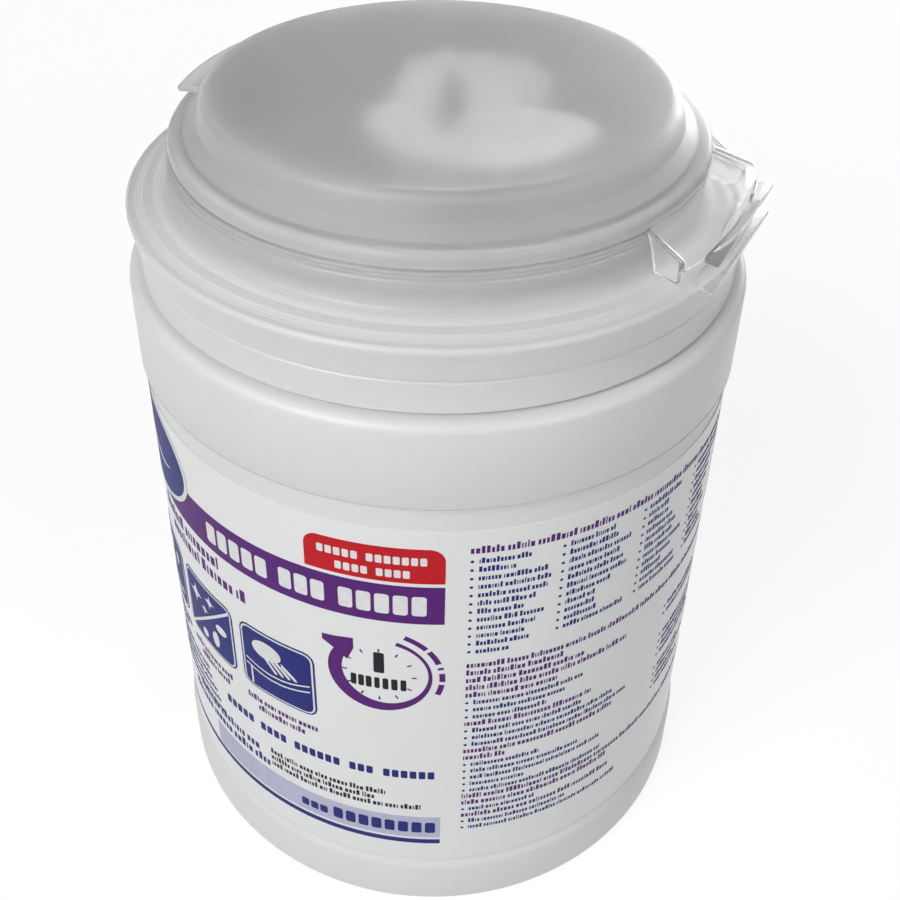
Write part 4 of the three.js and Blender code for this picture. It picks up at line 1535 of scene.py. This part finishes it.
def seen_directly(nodes: bpy.types.Nodes, links: bpy.types.NodeLinks) -> bpy.types.NodeSocket:
    """Give 1 for camera, glossy and transmission rays, and 0 for the rays that light the object.

    Args:
        nodes: Nodes of the tree.
        links: Links of the tree.

    Returns:
        The value socket.
    """
    path = nodes.new("ShaderNodeLightPath")
    value = path.outputs["Is Camera Ray"]
    for ray in ("Is Glossy Ray", "Is Transmission Ray"):
        larger = nodes.new("ShaderNodeMath")
        larger.operation = "MAXIMUM"
        links.new(value, larger.inputs[0])
        links.new(path.outputs[ray], larger.inputs[1])
        value = larger.outputs["Value"]
    return value


@dataclass(frozen=True)
class Lamp:
    """Square lamp that faces the canister: bearing from the camera's, metres and watts."""

    name: str
    from_camera: float
    distance: float
    height: float
    size: float
    power: float
    aim_height: float = 0.1

    def build(self) -> None:
        """Add the lamp."""
        data = bpy.data.lights.new(self.name, "AREA")
        data.size = self.size
        data.energy = self.power
        lamp = bpy.data.objects.new(self.name, data)
        bpy.context.scene.collection.objects.link(lamp)
        bearing = CAMERA_BEARING + self.from_camera
        lamp.location = cylinder_point(self.distance / MM, bearing, self.height / MM)
        target = Vector((0, 0, self.aim_height))
        lamp.rotation_euler = (target - lamp.location).to_track_quat("-Z", "Y").to_euler()


@dataclass(frozen=True)
class DarkCard:
    """Dark card outside the picture, which gives the frosted edges their grey: places as for a lamp."""

    name: str
    from_camera: float
    distance: float
    height: float
    width: float
    upright: float
    tone: float = 0.06
    roughness: float = 0.9

    def build(self) -> None:
        """Stand the card up, met only by reflections and by light through the frosted plastic."""
        Bench.clear_selection()
        bpy.ops.mesh.primitive_plane_add(size=1.0)
        card = bpy.context.object
        card.name = self.name
        bearing = CAMERA_BEARING + self.from_camera
        turn = Matrix.Rotation(math.radians(bearing), 4, "Z") @ Matrix.Rotation(math.radians(90), 4, "X")
        middle = Matrix.Translation(cylinder_point(self.distance / MM, bearing, self.height / MM))
        card.data.transform(middle @ turn @ Matrix.Diagonal((self.width, self.upright, 1, 1)))
        tree = NodeTree(f"{self.name}_cloth")
        tree.set("Base Color", grey(self.tone))
        tree.set("Roughness", self.roughness)
        card.data.materials.append(tree.material)
        card.visible_camera = False
        card.visible_shadow = False
        card.visible_diffuse = False


@dataclass
class Studio:
    """White sweep with a key from the left, a weak fill from the right, a lamp behind and dark cards.

    Lengths are in metres. Pairs are values beside the object and away from it; shadow_reach holds the
    distances from the axis at which those values hold.
    """

    floor_size: float = 4.0
    floor_tone: float = 0.5
    floor_roughness: float = 0.9
    floor_glow: tuple[float, float] = (0.75, 0.96)
    glow_strength: tuple[float, float] = (1.1, 1.0)
    shadow_reach: tuple[float, float] = (0.16, 0.5)
    world_strength: float = 0.2
    lamps: tuple[Lamp, ...] = (
        Lamp("key_lamp", -38, 0.9, 0.75, 0.6, 7.8),
        Lamp("fill_lamp", 42, 1.0, 0.5, 0.35, 2.0),
        Lamp("back_lamp", 148, 1.2, 0.16, 0.5, 5.0),
    )
    cards: tuple[DarkCard, ...] = (
        DarkCard("back_flag", 190, 1.5, 0.75, 1.5, 0.8),
        DarkCard("left_flag", -112, 0.9, 0.35, 0.8, 0.5),
    )

    def build(self) -> None:
        """Add floor, lamps, cards and world."""
        self.floor()
        for item in (*self.lamps, *self.cards):
            item.build()
        self.world()
        bpy.context.scene.view_settings.view_transform = "Standard"

    def floor(self) -> None:
        """Pale floor that is white to the camera, with the shadow kept near the object."""
        Bench.clear_selection()
        bpy.ops.mesh.primitive_plane_add(size=self.floor_size)
        floor = bpy.context.object
        floor.name = "studio_floor"
        tree = NodeTree("studio_floor_white")
        direct = seen_directly(tree.nodes, tree.links)
        tree.link(tree.blend(direct, grey(self.floor_tone), grey(1.0)), tree.shader.inputs["Base Color"])
        tree.set("Roughness", self.floor_roughness)
        glow = tree.nodes.new("ShaderNodeEmission")
        mix = tree.nodes.new("ShaderNodeMixShader")
        tree.link(self.fade(tree, self.glow_strength), glow.inputs["Strength"])
        share = tree.math("MULTIPLY", direct, self.fade(tree, self.floor_glow))
        tree.link(share, mix.inputs["Fac"])
        tree.link(tree.shader.outputs["BSDF"], mix.inputs[1])
        tree.link(glow.outputs["Emission"], mix.inputs[2])
        tree.link(mix.outputs["Shader"], tree.nodes["Material Output"].inputs["Surface"])
        floor.data.materials.append(tree.material)

    def fade(self, tree: NodeTree, values: tuple[float, float]) -> bpy.types.NodeSocket:
        """Run from one value beside the object to another away from it."""
        return tree.spread(tree.radius(), *values, *self.shadow_reach)

    def world(self) -> None:
        """Soft even light, white to the camera and in reflections."""
        world = bpy.data.worlds.new("studio_world")
        bpy.context.scene.world = world
        world.use_nodes = True
        nodes = world.node_tree.nodes
        links = world.node_tree.links
        background = nodes["Background"]
        strength = nodes.new("ShaderNodeMapRange")
        strength.inputs["To Min"].default_value = self.world_strength
        strength.inputs["To Max"].default_value = 1.0
        links.new(seen_directly(nodes, links), strength.inputs["Value"])
        links.new(strength.outputs["Result"], background.inputs["Strength"])
        background.inputs["Color"].default_value = (1, 1, 1, 1)


def main() -> None:
    """Build the canister's pieces and the studio round them."""
    logging.basicConfig(level=logging.INFO, format="%(name)s: %(message)s")
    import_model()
    PhotoCamera().build()
    Studio().build()
    for part in (Tub(), WipesRoll(), Label(), LabelArt(), Lid(), WipeEnd(), FlipCap()):
        part.build()


if __name__ == "__main__":
    main()
